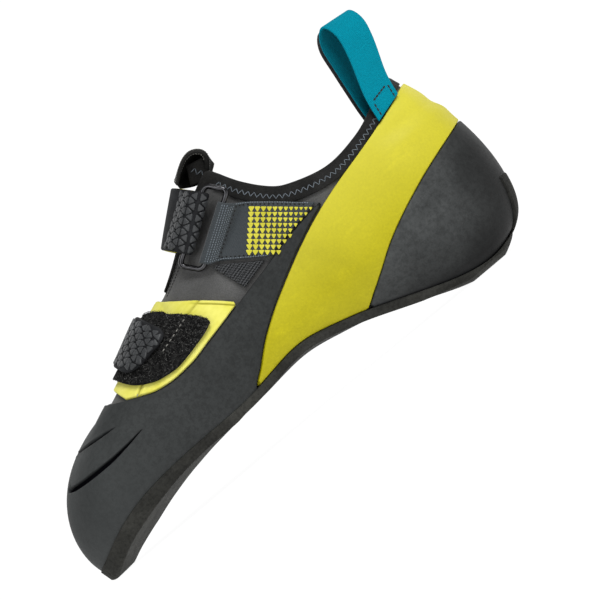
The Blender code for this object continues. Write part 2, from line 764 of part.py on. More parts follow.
def add_ring(name, arch, bar, shift, half_length, reach):
    """Wire ring: one bar in the strap's fold, the other this far down the foot in the tab's fold."""
    centre = arch.at(0.0, bar, arch.bar_lift)[0]
    far = arch.at(0.0, bar + np.sign(bar) * reach, arch.tab_lift)[0]
    spread = np.linalg.norm(far - centre)
    down = (far - centre) / spread
    out = np.array([-down[1], down[0]]) * np.sign(bar)
    corner = 2.6
    middle = (centre + far) / 2
    path = []
    for i, (u, v) in enumerate(((1, 1), (-1, 1), (-1, -1), (1, -1))):
        for step in range(5):
            angle = math.radians(90 * i + 22.5 * step)
            a = shift + u * (half_length - corner) + corner * math.cos(angle)
            b = v * (spread / 2 - corner) + corner * math.sin(angle)
            path.append(arch.place(a, *(middle + down * (b + arch.skew * a))))
    path = np.array(path)
    along = np.roll(path, -1, axis=0) - np.roll(path, 1, axis=0)
    along /= np.linalg.norm(along, axis=1, keepdims=True)
    face = np.cross(arch.along, arch.place(0, *down) - arch.place(0, 0, 0))
    side = np.cross(along, face)
    rings = []
    for step in range(6):
        angle = math.radians(60 * step)
        rings.append(path + WIRE * (math.cos(angle) * side + math.sin(angle) * face))
    add_part(name, "ring_steel", ring_shell(np.array(rings).swapaxes(0, 1), True))
    return far, down, out


def add_tab(name, material, arch, bar_point, down, out, rows):
    """Doubled tab round a ring's lower bar: a row is a shift, an under line and an over line."""
    turn_radius = WIRE + 1.5 * FIT + TAB_LAYER / 2
    grid = []
    for shift, under, over in rows:
        bend = []
        centre = bar_point + down * arch.skew * shift
        for angle in np.linspace(-90, 90, 7):
            swing = math.radians(angle)
            swept = out * math.sin(swing) - down * math.cos(swing)
            bend.append(arch.place(shift, *(centre + swept * turn_radius)))
        bend.append(arch.place(shift, *(centre + out * turn_radius + down * 1.8)))
        grid.append(np.concatenate([under, bend, over]))
    grid = np.array(grid).swapaxes(0, 1)
    sheet = weld([(grid, grid_normals(grid))])
    add_part(name, material, thicken(sheet, -TAB_LAYER / 2, TAB_LAYER / 2))


def add_upper_closure():
    """Upper strap over the instep, its ring and tab on the inner side, the webbing under the tab."""
    arch = Arch(127.8, 101.1, math.radians(40), 3.9, 0.18, 3.4, 5.7, 0.125)
    bar = -19.4
    low = arch.base + FIT + STRAP / 2
    add_strap("upper_strap", arch, bar, 40.0, 36.0, low, low + STRAP + FIT, 27.8, 9.0, 0.0)
    bar_point, down, out = add_ring("upper_ring", arch, bar, -1.2, 18.2, 9.3)
    corners = np.stack([TAB_CORNERS["s"], TAB_CORNERS["h"]], -1)
    rows = []
    for share in np.linspace(0, 1, 5):
        front = corners[0] + (corners[1] - corners[0]) * share
        rear = corners[3] + (corners[2] - corners[3]) * share
        line = front + (rear - front) * np.linspace(0.27, 1, 6)[:, None]
        phi, t = inner_side(line[:, 0], line[:, 1])
        points = upper_at(phi, t)
        normals = normal_at(phi, t)
        under = points + normals * (FIT + TAB_LAYER / 2)
        over = points + normals * (2 * FIT + TAB_LAYER * 1.5)
        shift = (np.array([front[0], 0, front[1]]) - arch.origin) @ arch.along
        rows.append((shift, under[::-1], over))
    add_tab("ring_tab", "tab_textile", arch, bar_point, down, out, rows)

    edge = np.stack([ANCHOR_CORNERS["s"], ANCHOR_CORNERS["h"]], -1)
    u = np.linspace(0, 1, 4)[:, None, None]
    v = np.linspace(0.14, 1, 4)[None, :, None]
    flat = edge[0] + v * (edge[1] - edge[0] + u * (edge[2] - edge[1]))
    phi, t = inner_side(flat[..., 0], flat[..., 1])
    add_skin("anchor_webbing", "binding_textile", [(phi, t)], FIT, FIT + WEBBING)


def add_lower_closure():
    """Lower strap over the forefoot to its tip on the inner side, ring and tab on the outer side."""
    arch = Arch(76.5, 72.2, math.radians(27), 0.0, 0.0, 2.7, 6.2, 0.0)
    bar = 24.0
    low = arch.base + STRAP / 2
    add_strap("lower_strap", arch, bar, 5.5, -23.0, low, low + STRAP + FIT, 24.0, 8.5, -3.2)
    bar_point, down, out = add_ring("lower_ring", arch, bar, 0.0, 16.0, 10.6)
    rows = []
    for shift in np.linspace(-11.5, 11.5, 5):
        layers = []
        for lift in (arch.base + TAB_LAYER / 2, arch.base + FIT + TAB_LAYER * 1.5):
            run, line, _ = arch.offset_line(shift, lift)
            reach = np.linspace(bar + 18.5, bar + 24, 3)
            layers.append(np.array([arch.place(shift, *read_line(run, line, d)) for d in reach]))
        rows.append((shift, layers[0][::-1], layers[1]))
    add_tab("lower_ring_tab", "tab_textile", arch, bar_point, down, out, rows)


def add_binding():
    """Bound edge of throat and collar: a channel over the rim of the upper."""
    corner = np.linspace(float(turn_of(148)), float(turn_of(164)), 7)
    phi = round_heel(np.concatenate([columns(98.8, 144), corner, columns(168, HEEL_END)]))
    rim = top_line(phi)
    ones = np.ones(phi.shape)
    out = normal_at(phi, ones * 0.985)
    along = np.gradient(rim, axis=0)
    along -= out * (along * out).sum(-1, keepdims=True)
    along /= np.linalg.norm(along, axis=1, keepdims=True)
    up = np.cross(along, out)
    climb = upper_at(phi, ones) - upper_at(phi, ones * 0.98)
    up *= np.sign((up * climb).sum(-1, keepdims=True))
    station = station_of(np.abs(wrap(phi)))
    depth = np.interp(station, BINDING_DEPTH["s"], BINDING_DEPTH["depth"])[:, None]
    puff = np.interp(station, BINDING_DEPTH["s"], BINDING_DEPTH["puff"])[:, None]
    flap_phi, flap_t = settle(rim - up * depth, phi, ones * 0.95)
    flap = upper_at(flap_phi, flap_t)
    flap_out = normal_at(flap_phi, flap_t)
    half_phi, half_t = settle(rim - up * depth / 2, phi, ones * 0.97)
    half = upper_at(half_phi, half_t)
    half_out = normal_at(half_phi, half_t)
    clear = 1.5 * FIT
    over = 2.5 * FIT
    rings = [
        flap + flap_out * clear,
        flap + flap_out * (clear + 0.9),
        rim + out * 1.5 + up * 0.3,
        rim + out * 0.6 + up * 2.0 * puff,
        rim - out * 2.4 + up * 2.1 * puff,
        rim - out * 3.5 + up * 0.2,
        rim - out * 2.9 - up * 1.6,
        rim - out * (WALL + clear) + up * over,
        rim + out * clear + up * over,
        half + half_out * clear,
    ]
    add_part("collar_binding", "binding_textile", ring_shell(np.array(rings).swapaxes(0, 1), False))


def add_tongue():
    """Sheet under the throat that bulges up between its edges and ends in a curled flap."""
    grid = []
    for angle in np.linspace(float(turn_of(84)), float(turn_of(142)), 8):
        row = []
        for side, steps in ((-1, (0.86, 0.93, 1.0)), (1, (1.0, 0.93, 0.86))):
            phi = np.full(3, side * angle)
            t = np.array(steps)
            row.append(upper_at(phi, t) - normal_at(phi, t) * TONGUE_DROP)
        inner, outer = row
        gap = outer[0] - inner[-1]
        rise = np.array([0, 0, 1.0]) * min(4.2, 0.25 * np.linalg.norm(gap))
        middle = [inner[-1] + gap * f + rise * 4 * f * (1 - f) for f in (0.25, 0.5, 0.75)]
        if np.linalg.norm(gap) < 4:
            middle = [inner[-1] + (outer[0] - inner[-1]) * f for f in (0.25, 0.5, 0.75)]
        grid.append(np.concatenate([inner, middle, outer]))
    share = np.linspace(-1, 1, 9)
    for s, h, inner, outer, droop in zip(*FLAP.values()):
        y = share * np.where(share < 0, inner, outer)
        height = h - FLAP_CROWN * share**2 - droop * ((share + 1) / 2) ** 1.5
        grid.append(np.stack([np.full(9, s), y, height], -1))
    grid = np.array(grid)
    sheet = weld([(grid, grid_normals(grid))])
    add_part("tongue", "binding_textile", thicken(sheet, -TONGUE / 2, TONGUE / 2))


def add_pull_loop(name, material, side, taller):
    """Webbing loop sewn over the collar beside the heel."""
    line = np.stack([PULL_LOOP["s"], PULL_LOOP["y"] * -side, PULL_LOOP["h"]], -1)
    lean = PULL_LOOP["lean"]
    line[:, 2] += taller * (line[:, 2] > 90)
    turn = np.radians(PULL_LOOP["turn"])
    width = np.stack([np.cos(turn), -side * np.sin(turn), lean], -1)
    share = np.linspace(-0.5, 0.5, 3)[:, None]
    grid = line[:, None] + width[:, None] * share * LOOP_WIDTH
    sheet = weld([(grid, grid_normals(grid))])
    add_part(name, material, thicken(sheet, -LOOP_WEB / 2, LOOP_WEB / 2))


def make_material(name, colour):
    material = bpy.data.materials.new(name)
    material.use_nodes = True
    shader = material.node_tree.nodes["Principled BSDF"]
    shader.inputs["Base Color"].default_value = (*colour, 1.0)
    shader.inputs["Roughness"].default_value = 0.3 if name == "ring_steel" else 0.75
    shader.inputs["Metallic"].default_value = 1.0 if name == "ring_steel" else 0.0
    return material


for old in list(bpy.data.objects):
    bpy.data.objects.remove(old)
MATERIALS = {name: make_material(name, colour) for name, colour in COLOURS.items()}
add_upper()
add_outsole()
add_insole()
add_rubber()
add_forefoot()
add_upper_closure()
add_lower_closure()
add_binding()
add_tongue()
add_pull_loop("pull_loop_near", "loop_webbing", -1, 0.0)
add_pull_loop("pull_loop_far", "binding_textile", 1, 1.0)
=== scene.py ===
"""Looks of the climbing shoe: fine pieces in place of the plain solids, their finishes, light and camera.

Lengths are millimetres until a mesh is made. A station s runs from the toe tip (0) to the back of
the heel (252), y is negative on the inner side of the foot and z is the height over the floor. The
upper is a surface over two parameters: phi goes round the foot (0 at the toe tip, negative on the
inner side, plus or minus pi at the heel), and t climbs each column from the sole edge (0) to the
ridge, throat or collar (1). Every overlay is cut from it.
"""

import math

import bmesh
import bpy
import numpy as np
from mathutils import Matrix, Vector
from mathutils.kdtree import KDTree


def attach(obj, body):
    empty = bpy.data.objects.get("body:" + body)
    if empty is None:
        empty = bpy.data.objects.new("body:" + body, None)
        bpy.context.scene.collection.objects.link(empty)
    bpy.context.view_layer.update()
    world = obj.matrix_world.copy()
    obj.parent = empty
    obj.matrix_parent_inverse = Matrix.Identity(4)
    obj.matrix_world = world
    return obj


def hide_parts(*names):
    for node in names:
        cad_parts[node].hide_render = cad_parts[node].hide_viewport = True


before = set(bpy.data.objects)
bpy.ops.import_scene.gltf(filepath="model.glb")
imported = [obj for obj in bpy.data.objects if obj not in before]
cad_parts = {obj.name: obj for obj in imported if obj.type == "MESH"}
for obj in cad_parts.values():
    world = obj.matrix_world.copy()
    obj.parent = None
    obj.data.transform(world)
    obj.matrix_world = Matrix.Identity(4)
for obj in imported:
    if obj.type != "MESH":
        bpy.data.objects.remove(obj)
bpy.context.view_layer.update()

# Driving sizes, as in the solids
MM = 0.001
MIDDLE_S = 125.98
MIDDLE_Y = 0.46
TOE_START = 3.7
HEEL_END = 236.5
FIT = 0.3
SEAT = 0.4
WALL = 2.0
RAND = 1.8
BAND = 1.6
PANEL = 1.2
PATCH = 1.4
STRAP = 2.0
TAB_LAYER = 1.0
SOLE_RIM = 2.7
SOLE_BEVEL = 1.0
SIDE_RAKE = 0.4
FLAT_DEPTH = 0.9
FLAT_FADE = 6.0
TOE_DISH = 2.2
DISH = 0.6
DISH_WIDTH = 20.0
INSOLE = 2.5
TONGUE = 2.4
TONGUE_DROP = 5.2
FLAP_CROWN = 2.4
FLAP_END = 1.3
STRIP = 1.0
STRIP_TOP = 28.6
BAND_TIP = 105.7
CUP_TIP = 165.2
WEBBING = 1.5
WIRE = 1.2


def table(names, rows):
    """The columns of a short table, each an array under its name."""
    return dict(zip(names.split(), np.array(rows, float).T))


# Lower edge of the upper, where it meets the sole. Tilt is how far the outer side lies below the inner.
EDGE = table("s inner outer rise tilt", [
    (3.7, 14, -14, 7.1, 0), (10, 28, 1, 10.4, 3), (20, 36.5, 14, 15.4, 4.2), (30, 40, 24, 19.2, 5),
    (45, 41.5, 34.5, 22.3, 4.2), (60, 41, 40.5, 23.6, 3.4), (75, 39, 43, 24.1, 2.2),
    (90, 35.5, 43, 24.3, 1), (105, 30.5, 41, 25.5, 1.2), (120, 25.5, 38, 27.9, 1.8),
    (132, 22.5, 35, 28.8, 2.2), (150, 20.5, 31.5, 25.5, 1.8), (165, 21, 29.5, 21.2, 0.8),
    (180, 23, 28.5, 15.8, 0.4), (195, 25, 28, 10.2, 0.1), (208, 25.5, 27.5, 6.2, 0),
    (220, 23, 24, 4.9, 0), (231, 14, 14.5, 7.2, 0), (236.5, 0, 0, 10.5, 0),
])

# Upper edge of each column: forefoot ridge, then throat, then collar
TOP = table("s top_s centre half_gap height", [
    (3.7, 46, -13.5, 0, 57.2), (10, 46.8, -13.4, 0, 57.5), (20, 50, -13, 0, 58.7),
    (30, 54.5, -12.3, 0, 61), (45, 62, -11, 0, 64.6), (60, 71, -9.2, 0, 68.9), (75, 82, -7.2, 0, 74.7),
    (90, 94, -5.3, 0, 80.2), (94, 97.3, -4.9, 0, 81.3), (98, 100.7, -4.5, 3.2, 82.6),
    (105, 106.5, -4, 6, 85.9), (120, 120, -2.4, 9, 95), (132, 131, -1.2, 11, 102.3),
    (147, 144, -0.4, 14.5, 109.4), (152, 148.5, -0.2, 16, 110.9), (156, 150.4, 0, 17.6, 107.8),
    (160, 152.9, 0, 19.4, 103.2), (167, 158.3, 0, 22, 95), (178, 170.3, 0, 25, 84),
    (195, 193, 0, 27.2, 78.1), (208, 210, 0.4, 25.8, 80.7), (220, 225, 0.3, 19.3, 86.6),
    (231, 233.9, 0, 10, 91), (236.5, 236.7, 0, 0, 92),
])

# Handles of each column's curve: out and up from the sole edge, then reach, out and down at the upper edge
HANDLES = "s low_out low_up reach high_out drop"
INNER = table(HANDLES, [
    (3.7, 5.2, 14.7, 0.92, 0, 7.4), (10, 5, 17, 0.90, 0, 7), (20, 5.5, 19, 0.87, 0, 6),
    (30, 6, 20, 0.83, 0, 5), (45, 6, 20, 0.77, 0, 3.5), (60, 6, 19, 0.73, 0, 2.5),
    (75, 6, 20, 0.74, 0, 2.5), (90, 7, 23, 0.78, 0, 3.5), (105, 9, 24, 0.84, 1.5, 6),
    (120, 11, 24, 0.85, 3.5, 10), (132, 12, 25, 0.70, 5, 13), (150, 13, 26, 0.30, 6.5, 17),
    (165, 13, 25, 0, 6.5, 19), (180, 12, 22, 0, 5, 19), (195, 11, 20, 0, 4, 18), (208, 11, 17, 0, 6, 20),
    (220, 13, 12, 0, 9, 25), (231, 16, 8, 0, 13.6, 30), (236.5, 17.5, 5, 0, 16.6, 31),
])
OUTER = table(HANDLES, [
    (3.7, 5.2, 14.7, 0.92, 0, 7.4), (10, 5, 16, 0.89, 0, 8), (20, 5, 17, 0.83, 0, 9),
    (30, 5, 17, 0.76, 0, 9), (45, 5, 16, 0.68, 0, 8), (60, 5, 16, 0.62, 0, 7), (75, 5, 17, 0.62, 0, 7),
    (90, 5, 19, 0.66, 0, 8), (105, 5.5, 21, 0.74, 1, 10), (120, 6, 22, 0.78, 3, 12),
    (132, 7, 23, 0.65, 5, 14), (150, 8, 24, 0.30, 6.5, 17), (165, 8.5, 24, 0, 6.5, 19),
    (180, 9, 21, 0, 5, 19), (195, 9, 19, 0, 4.5, 18), (208, 10, 16, 0, 6, 20), (220, 13, 12, 0, 9, 25),
    (231, 16, 8, 0, 13.6, 30), (236.5, 17.5, 5, 0, 16.6, 31),
])

# Thickness of the sole at its rim, and how far its underside is set in from the rim
SOLE = table("s thickness inset", [
    (0, 6.4, 3.6), (4.5, 6.4, 3.4), (12, 7.1, 2.4), (30, 7.2, 1.2), (45, 6.3, 1), (60, 4.9, 1),
    (75, 4.3, 1), (90, 4.3, 1), (96, 3.8, 1), (150, 3.8, 1), (176, 4.3, 1), (200, 4, 1), (222, 3.3, 1),
    (232, 2.3, 1.6), (241, 1.3, 2.6),
])

# Rise of the sole's lower rim where the heel is worn round
HEEL_WEAR = table("s rise", [(186, 0), (204, 1.7), (222, 2.4), (238, 1.2)])

# Side-view edges of the overlays, as height over station
RAND_TOP = table("s h", [
    (48, 62), (51, 60), (54, 58.6), (58, 56.8), (66, 53.4), (72, 51.3), (81, 50.3), (92, 51.2),
    (103, 53.8), (114, 56.4), (123, 58.7), (140, 62.8), (160, 67.4), (179, 70.2), (190, 71.6),
])
BAND_TOP = table("s h", [
    (105, 24), (106, 25.8), (112, 30.7), (121, 38.4), (132, 45.8), (140, 50.3), (150, 55.5), (160, 60.3),
    (170, 64.6), (180, 68.2), (191, 71.5), (210, 76.4), (230, 82.6), (240, 86.6), (252, 87.9),
])
BAND_LOW = table("s h", [
    (165, 20.8), (170, 23.8), (180, 30), (191, 36.9), (200, 41.4), (210, 45.7), (220, 49.6), (230, 52.9),
    (240, 56), (252, 59.8),
])
PANEL_REAR = table("s h", [
    (93.4, 90), (94, 82), (96, 81), (104, 75.2), (110, 70.6), (117, 64.8), (124, 58.2),
])
PANEL_FRONT = table("s h", [(50, 90), (55.5, 68), (57.2, 62), (58.4, 58.6), (59.6, 55), (62, 46)])
PATCH_LOW = table("s h", [
    (60, 68), (62, 62.6), (66, 58), (70, 55.6), (76, 53.4), (84, 52.7), (92, 54), (103, 56.9),
    (109, 59.6),
])
PATCH_REAR = table("s h", [(88, 90), (88.5, 79), (92, 77), (101, 69.6), (106, 64.4), (109, 59.8)])
BINDING_DEPTH = table("s depth puff", [
    (98, 1.6, 0.4), (112, 1.9, 0.45), (124, 2.8, 0.6), (144, 3.3, 0.7), (150, 3.6, 0.8), (156, 4.6, 1),
    (164, 6.2, 1), (180, 7, 1), (195, 6, 1), (208, 4.4, 1), (222, 4.8, 1.1), (237, 5.2, 1.3),
])

# Four side-view corners of the ring tab and three of the anchor webbing, on the inner side
TAB_CORNERS = table("s h", [(122.0, 82.0), (144.8, 98.0), (176.6, 70.9), (146.6, 65.8)])
ANCHOR_CORNERS = table("s h", [(123.5, 79.3), (129.6, 61.9), (144.0, 65.6)])

# Centre line of the near pull loop, from its outer foot over the top and down inside
PULL_LOOP = table("s y h lean turn", [
    (228.1, -22, 82.6, 0.25, 32), (228.8, -21.9, 88, 0.22, 32), (230.3, -21.5, 95, 0.15, 32),
    (233.8, -20.8, 105, 0.08, 32), (236.8, -19.6, 115, 0, 32), (237.4, -18, 122.5, -0.04, 32),
    (235, -15.2, 127.2, -0.06, 32), (231.4, -12.8, 124.5, -0.04, 32), (228.6, -11.2, 115, 0, 32),
    (227.2, -10.4, 105, 0.05, 34), (225.9, -10.1, 97, 0.1, 38), (224.7, -10.2, 90, 0.12, 43),
    (224.3, -10.3, 86, 0.12, 45),
])
LOOP_WIDTH = 17.0
LOOP_WEB = 1.5

# Upper end of the tongue, a curled flap: side-view line, reach to both sides and droop of its outer side
FLAP = table("s h inner outer droop", [
    (146.9, 111.3, 9, 9, 0), (151, 116.2, 12, 10.5, 1.5), (153.4, 121.3, 15, 11, 5),
    (150, 124.9, 15.5, 11, 10), (142.4, 123.6, 15.5, 11.5, 9.8), (135.2, 118.2, 14, 12, 0.4),
])


def fair(xs, ys):
    """Natural cubic curve through a table's rows, as a function."""
    count = len(xs)
    step = np.diff(xs)
    matrix = np.eye(count)
    bend = np.zeros(count)
    for i in range(1, count - 1):
        matrix[i, i - 1 : i + 2] = step[i - 1], 2 * (step[i - 1] + step[i]), step[i]
        bend[i] = 6 * ((ys[i + 1] - ys[i]) / step[i] - (ys[i] - ys[i - 1]) / step[i - 1])
    second = np.linalg.solve(matrix, bend)

    def at(x):
        i = np.clip(np.searchsorted(xs, x) - 1, 0, count - 2)
        a = (xs[i + 1] - x) / step[i]
        b = 1 - a
        swell = (a**3 - a) * second[i] + (b**3 - b) * second[i + 1]
        return a * ys[i] + b * ys[i + 1] + swell * step[i] ** 2 / 6

    return at


def steady(xs, ys):
    """Cubic curve through a table's rows that never overshoots them, as a function."""
    step = np.diff(xs)
    rate = np.diff(ys) / step
    slope = np.concatenate([rate[:1], np.zeros(len(xs) - 2), rate[-1:]])
    same = rate[:-1] * rate[1:] > 0
    slope[1:-1][same] = 2 * rate[:-1][same] * rate[1:][same] / (rate[:-1] + rate[1:])[same]

    def at(x):
        i = np.clip(np.searchsorted(xs, x) - 1, 0, len(xs) - 2)
        u = np.clip((x - xs[i]) / step[i], 0, 1)
        ends = ys[i] * (1 + 2 * u) * (1 - u) ** 2 + ys[i + 1] * u * u * (3 - 2 * u)
        return ends + step[i] * (slope[i] * u * (1 - u) ** 2 + slope[i + 1] * u * u * (u - 1))

    return at


def edge_curve(rows):
    """Side-view edge as a function of station."""
    return steady(rows["s"], rows["h"])


def turn_of(s):
    """Angle round the foot at a station, closest together at the toe and heel."""
    return np.arccos(np.clip(1 - 2 * (np.asarray(s, float) - TOE_START) / (HEEL_END - TOE_START), -1, 1))


def station_of(turn):
    return TOE_START + (HEEL_END - TOE_START) * (1 - np.cos(turn)) / 2


def turns_between(first, last, count):
    """Even angles round the foot between two stations."""
    return np.linspace(float(turn_of(first)), float(turn_of(last)), count)


def curves(rows, kind):
    turn = turn_of(rows["s"])
    return {name: kind(turn, values) for name, values in rows.items() if name != "s"}


EDGE_AT = curves(EDGE, fair)
TOP_AT = curves(TOP, steady)
INNER_AT = curves(INNER, steady)
OUTER_AT = curves(OUTER, steady)


def wrap(phi):
    return (np.asarray(phi, float) + math.pi) % (2 * math.pi) - math.pi


def unit(vectors):
    """Vectors scaled to length 1."""
    return vectors / np.maximum(np.linalg.norm(vectors, axis=-1, keepdims=True), 1e-9)


def square_to(normals, vectors):
    """Unit vectors square to normals, each as close as it can be to a given one."""
    return unit(vectors - normals * (vectors * normals).sum(-1, keepdims=True))


def sole_line(phi):
    """Points of the upper's lower edge."""
    phi = wrap(phi)
    turn = np.abs(phi)
    inner = phi < 0
    y = np.where(inner, -EDGE_AT["inner"](turn), EDGE_AT["outer"](turn))
    z = EDGE_AT["rise"](turn) - np.where(inner, 0, EDGE_AT["tilt"](turn))
    return np.stack([station_of(turn), y, z], -1)


def outward(phi):
    """Level direction out of the foot, square to the sole line."""
    along = sole_line(phi + 0.002) - sole_line(phi - 0.002)
    return unit(np.stack([-along[..., 1], along[..., 0], np.zeros(along.shape[:-1])], -1))


def top_line(phi):
    """Points of the ridge, throat and collar."""
    phi = wrap(phi)
    turn = np.abs(phi)
    side = np.where(phi < 0, -1, 1)
    y = TOP_AT["centre"](turn) + side * np.maximum(TOP_AT["half_gap"](turn), 0)
    return np.stack([TOP_AT["top_s"](turn), y, TOP_AT["height"](turn)], -1)


def upper_at(phi, t):
    """Outer surface of the upper."""
    phi, t = np.broadcast_arrays(np.asarray(phi, float), np.asarray(t, float))
    turn = np.abs(wrap(phi))
    inner = wrap(phi) < 0
    shape = {}
    for name in INNER_AT:
        shape[name] = np.where(inner, INNER_AT[name](turn), OUTER_AT[name](turn))[..., None]
    foot = sole_line(phi)
    top = top_line(phi)
    out = outward(phi)
    up = np.array([0.0, 0.0, 1.0])
    level = (foot - top) * (1, 1, 0)
    low = foot + out * shape["low_out"] + up * shape["low_up"]
    high = top + level * shape["reach"] + out * shape["high_out"] - up * shape["drop"]
    t = t[..., None]
    return foot * (1 - t) ** 3 + 3 * low * t * (1 - t) ** 2 + 3 * high * t * t * (1 - t) + top * t**3


def normal_at(phi, t):
    """Outward unit normal of the upper."""
    phi, t = np.broadcast_arrays(np.asarray(phi, float), np.minimum(t, 0.98))
    climb = upper_at(phi, t + 0.003) - upper_at(phi, t - 0.003)
    along = upper_at(phi + 0.003, t) - upper_at(phi - 0.003, t)
    return unit(np.cross(climb, along))


def halved(low, high, past, steps):
    """Two limits of t in each column, closed in on the place where a test turns true."""
    for _ in range(steps):
        middle = (low + high) / 2
        above = past(middle)
        high = np.where(above, middle, high)
        low = np.where(above, low, middle)
    return low, high


def crossing(phi, edge, lift=0.0):
    """Parameter t where each column climbs through a side-view edge: 0 or 1 where it never does."""
    phi = np.asarray(phi, float)

    def above(t):
        point = upper_at(phi, t)
        return point[..., 2] > edge(point[..., 0]) + lift

    low, high = halved(np.zeros(phi.shape), np.ones(phi.shape), above, 30)
    return (low + high) / 2


def settle(target, phi, t, side_view=False):
    """Parameters of the surface point nearest a target, or with its station and height."""
    keep = np.array([1.0, 0.0, 1.0]) if side_view else np.ones(3)
    for _ in range(12):
        miss = (target - upper_at(phi, t)) * keep
        by_phi = (upper_at(phi + 0.002, t) - upper_at(phi - 0.002, t)) / 0.004 * keep
        by_t = (upper_at(phi, t + 0.002) - upper_at(phi, t - 0.002)) / 0.004 * keep
        a = (by_phi * by_phi).sum(-1)
        b = (by_phi * by_t).sum(-1)
        c = (by_t * by_t).sum(-1)
        p = (by_phi * miss).sum(-1)
        q = (by_t * miss).sum(-1)
        share = np.maximum(a * c - b * b, 1e-6)
        phi = phi + np.clip((c * p - b * q) / share, -0.1, 0.1)
        t = np.clip(t + np.clip((a * q - b * p) / share, -0.1, 0.1), 0, 1.02)
    return phi, t


def inner_side(s, h):
    """Surface parameters of side-view points on the inner side."""
    s, h = np.broadcast_arrays(np.asarray(s, float), np.asarray(h, float))
    target = np.stack([s, np.zeros(s.shape), h], -1)
    return settle(target, -turn_of(s), np.clip((h - 25) / 75, 0.1, 0.9), side_view=True)


def grid_normals(points):
    """Unit normals of a grid of points from its neighbours."""
    down = np.gradient(points, axis=0)
    across = np.gradient(points, axis=1)
    return unit(np.cross(across, down))


def crowded(count):
    """Shares from 0 to 1, closest together at both ends."""
    return (1 - np.cos(np.linspace(0, math.pi, count))) / 2


def between(phi, low, high, shares):
    """Grid of surface parameters with the columns phi, at shares between two limits of t."""
    t = low[:, None] + (high - low)[:, None] * shares
    return np.broadcast_to(phi[:, None], t.shape), t


def rounded(distance, radius):
    """Share of the full thickness at a distance from an edge, as a quarter round."""
    x = np.clip(np.asarray(distance) / radius, 0, 1)
    return np.sqrt(1 - (1 - x) ** 2)


def bell(distance, width):
    """Soft ridge over a line: 1 on it, fading over the width."""
    return np.exp(-((np.asarray(distance) / width) ** 2))


def lengths(line):
    """Distance of each point of a line from its start."""
    return np.concatenate([[0], np.cumsum(np.linalg.norm(np.diff(line, axis=0), axis=1))])


def read_run(at, run, values):
    """Columns of values that belong to distances along a line, read at other distances."""
    return np.stack([np.interp(at, run, column) for column in values.T], -1)


def read_fair(line, shares):
    """Fair curve through a line's points, read at shares of its length."""
    run = lengths(line)
    return np.stack([fair(run, column)(shares * run[-1]) for column in line.T], -1)


def dense(line, step=0.15):
    """A line's points filled in at a small step."""
    run = lengths(line)
    return read_run(np.linspace(0, run[-1], max(2, int(run[-1] / step))), run, line)


def search_tree(marks):
    """Tree that finds the nearest of many points."""
    tree = KDTree(len(marks))
    for i, mark in enumerate(marks):
        tree.insert(mark, i)
    tree.balance()
    return tree


def distance_to(points, lines):
    """Distance of each point from the nearest of several lines."""
    tree = search_tree(np.concatenate([dense(line) for line in lines]))
    flat = points.reshape(-1, 3)
    return np.array([tree.find(point)[2] for point in flat]).reshape(points.shape[:-1])


def grid_faces(rows, cols, start=0):
    """Quads of a grid of numbered points."""
    number = start + np.arange(rows * cols).reshape(rows, cols)
    quads = [number[:-1, :-1], number[:-1, 1:], number[1:, 1:], number[1:, :-1]]
    return np.stack(quads, -1).reshape(-1, 4)


def weld(grids):
    """Joins grids of points and normals into one sheet: points, mean normals, faces and kept numbers."""
    points = np.concatenate([grid.reshape(-1, 3) for grid, _ in grids])
    normals = np.concatenate([out.reshape(-1, 3) for _, out in grids])
    quads = []
    start = 0
    for grid, _ in grids:
        quads.append(grid_faces(*grid.shape[:2], start))
        start += grid.shape[0] * grid.shape[1]
    _, kept, place = np.unique(np.round(points, 3), axis=0, return_index=True, return_inverse=True)
    place = place.reshape(-1)
    total = np.zeros((len(kept), 3))
    np.add.at(total, place, normals)
    total = unit(total)
    faces = []
    for quad in place[np.concatenate(quads)].tolist():
        face = list(dict.fromkeys(quad))
        if len(face) > 2:
            faces.append(face)
    points = points[kept]
    lean = 0.0
    for face in faces[:: max(1, len(faces) // 50)]:
        a, b, c = points[face[0]], points[face[1]], points[face[2]]
        lean += np.cross(b - a, c - a) @ total[face[0]]
    if lean < 0:
        faces = [face[::-1] for face in faces]
    return points, total, faces, kept


def thicken(sheet, low, high):
    """Closed shell between two lifts of a sheet, each one number or one for every grid point."""
    points, normals, faces, kept = sheet
    count = len(points)
    lifts = []
    for lift in (high, low):
        lift = np.asarray(lift, float).reshape(-1)
        lifts.append(lift[kept][:, None] if len(lift) > 1 else lift)
    shell = np.concatenate([points + normals * lifts[0], points + normals * lifts[1]])
    edges = {(a, b) for face in faces for a, b in zip(face, face[1:] + face[:1])}
    closed = list(faces)
    closed += [[corner + count for corner in reversed(face)] for face in faces]
    closed += [[b, a, a + count, b + count] for a, b in edges if (b, a) not in edges]
    return shell, closed


def ring_shell(rings, closed_path):
    """Closed skin through rings of points that correspond."""
    count, sides = rings.shape[:2]
    faces = []
    for i in range(count if closed_path else count - 1):
        after = (i + 1) % count
        for j in range(sides):
            side = (j + 1) % sides
            faces.append([i * sides + j, i * sides + side, after * sides + side, after * sides + j])
    if not closed_path:
        faces.append(list(range(sides))[::-1])
        faces.append([(count - 1) * sides + j for j in range(sides)])
    return rings.reshape(-1, 3), faces


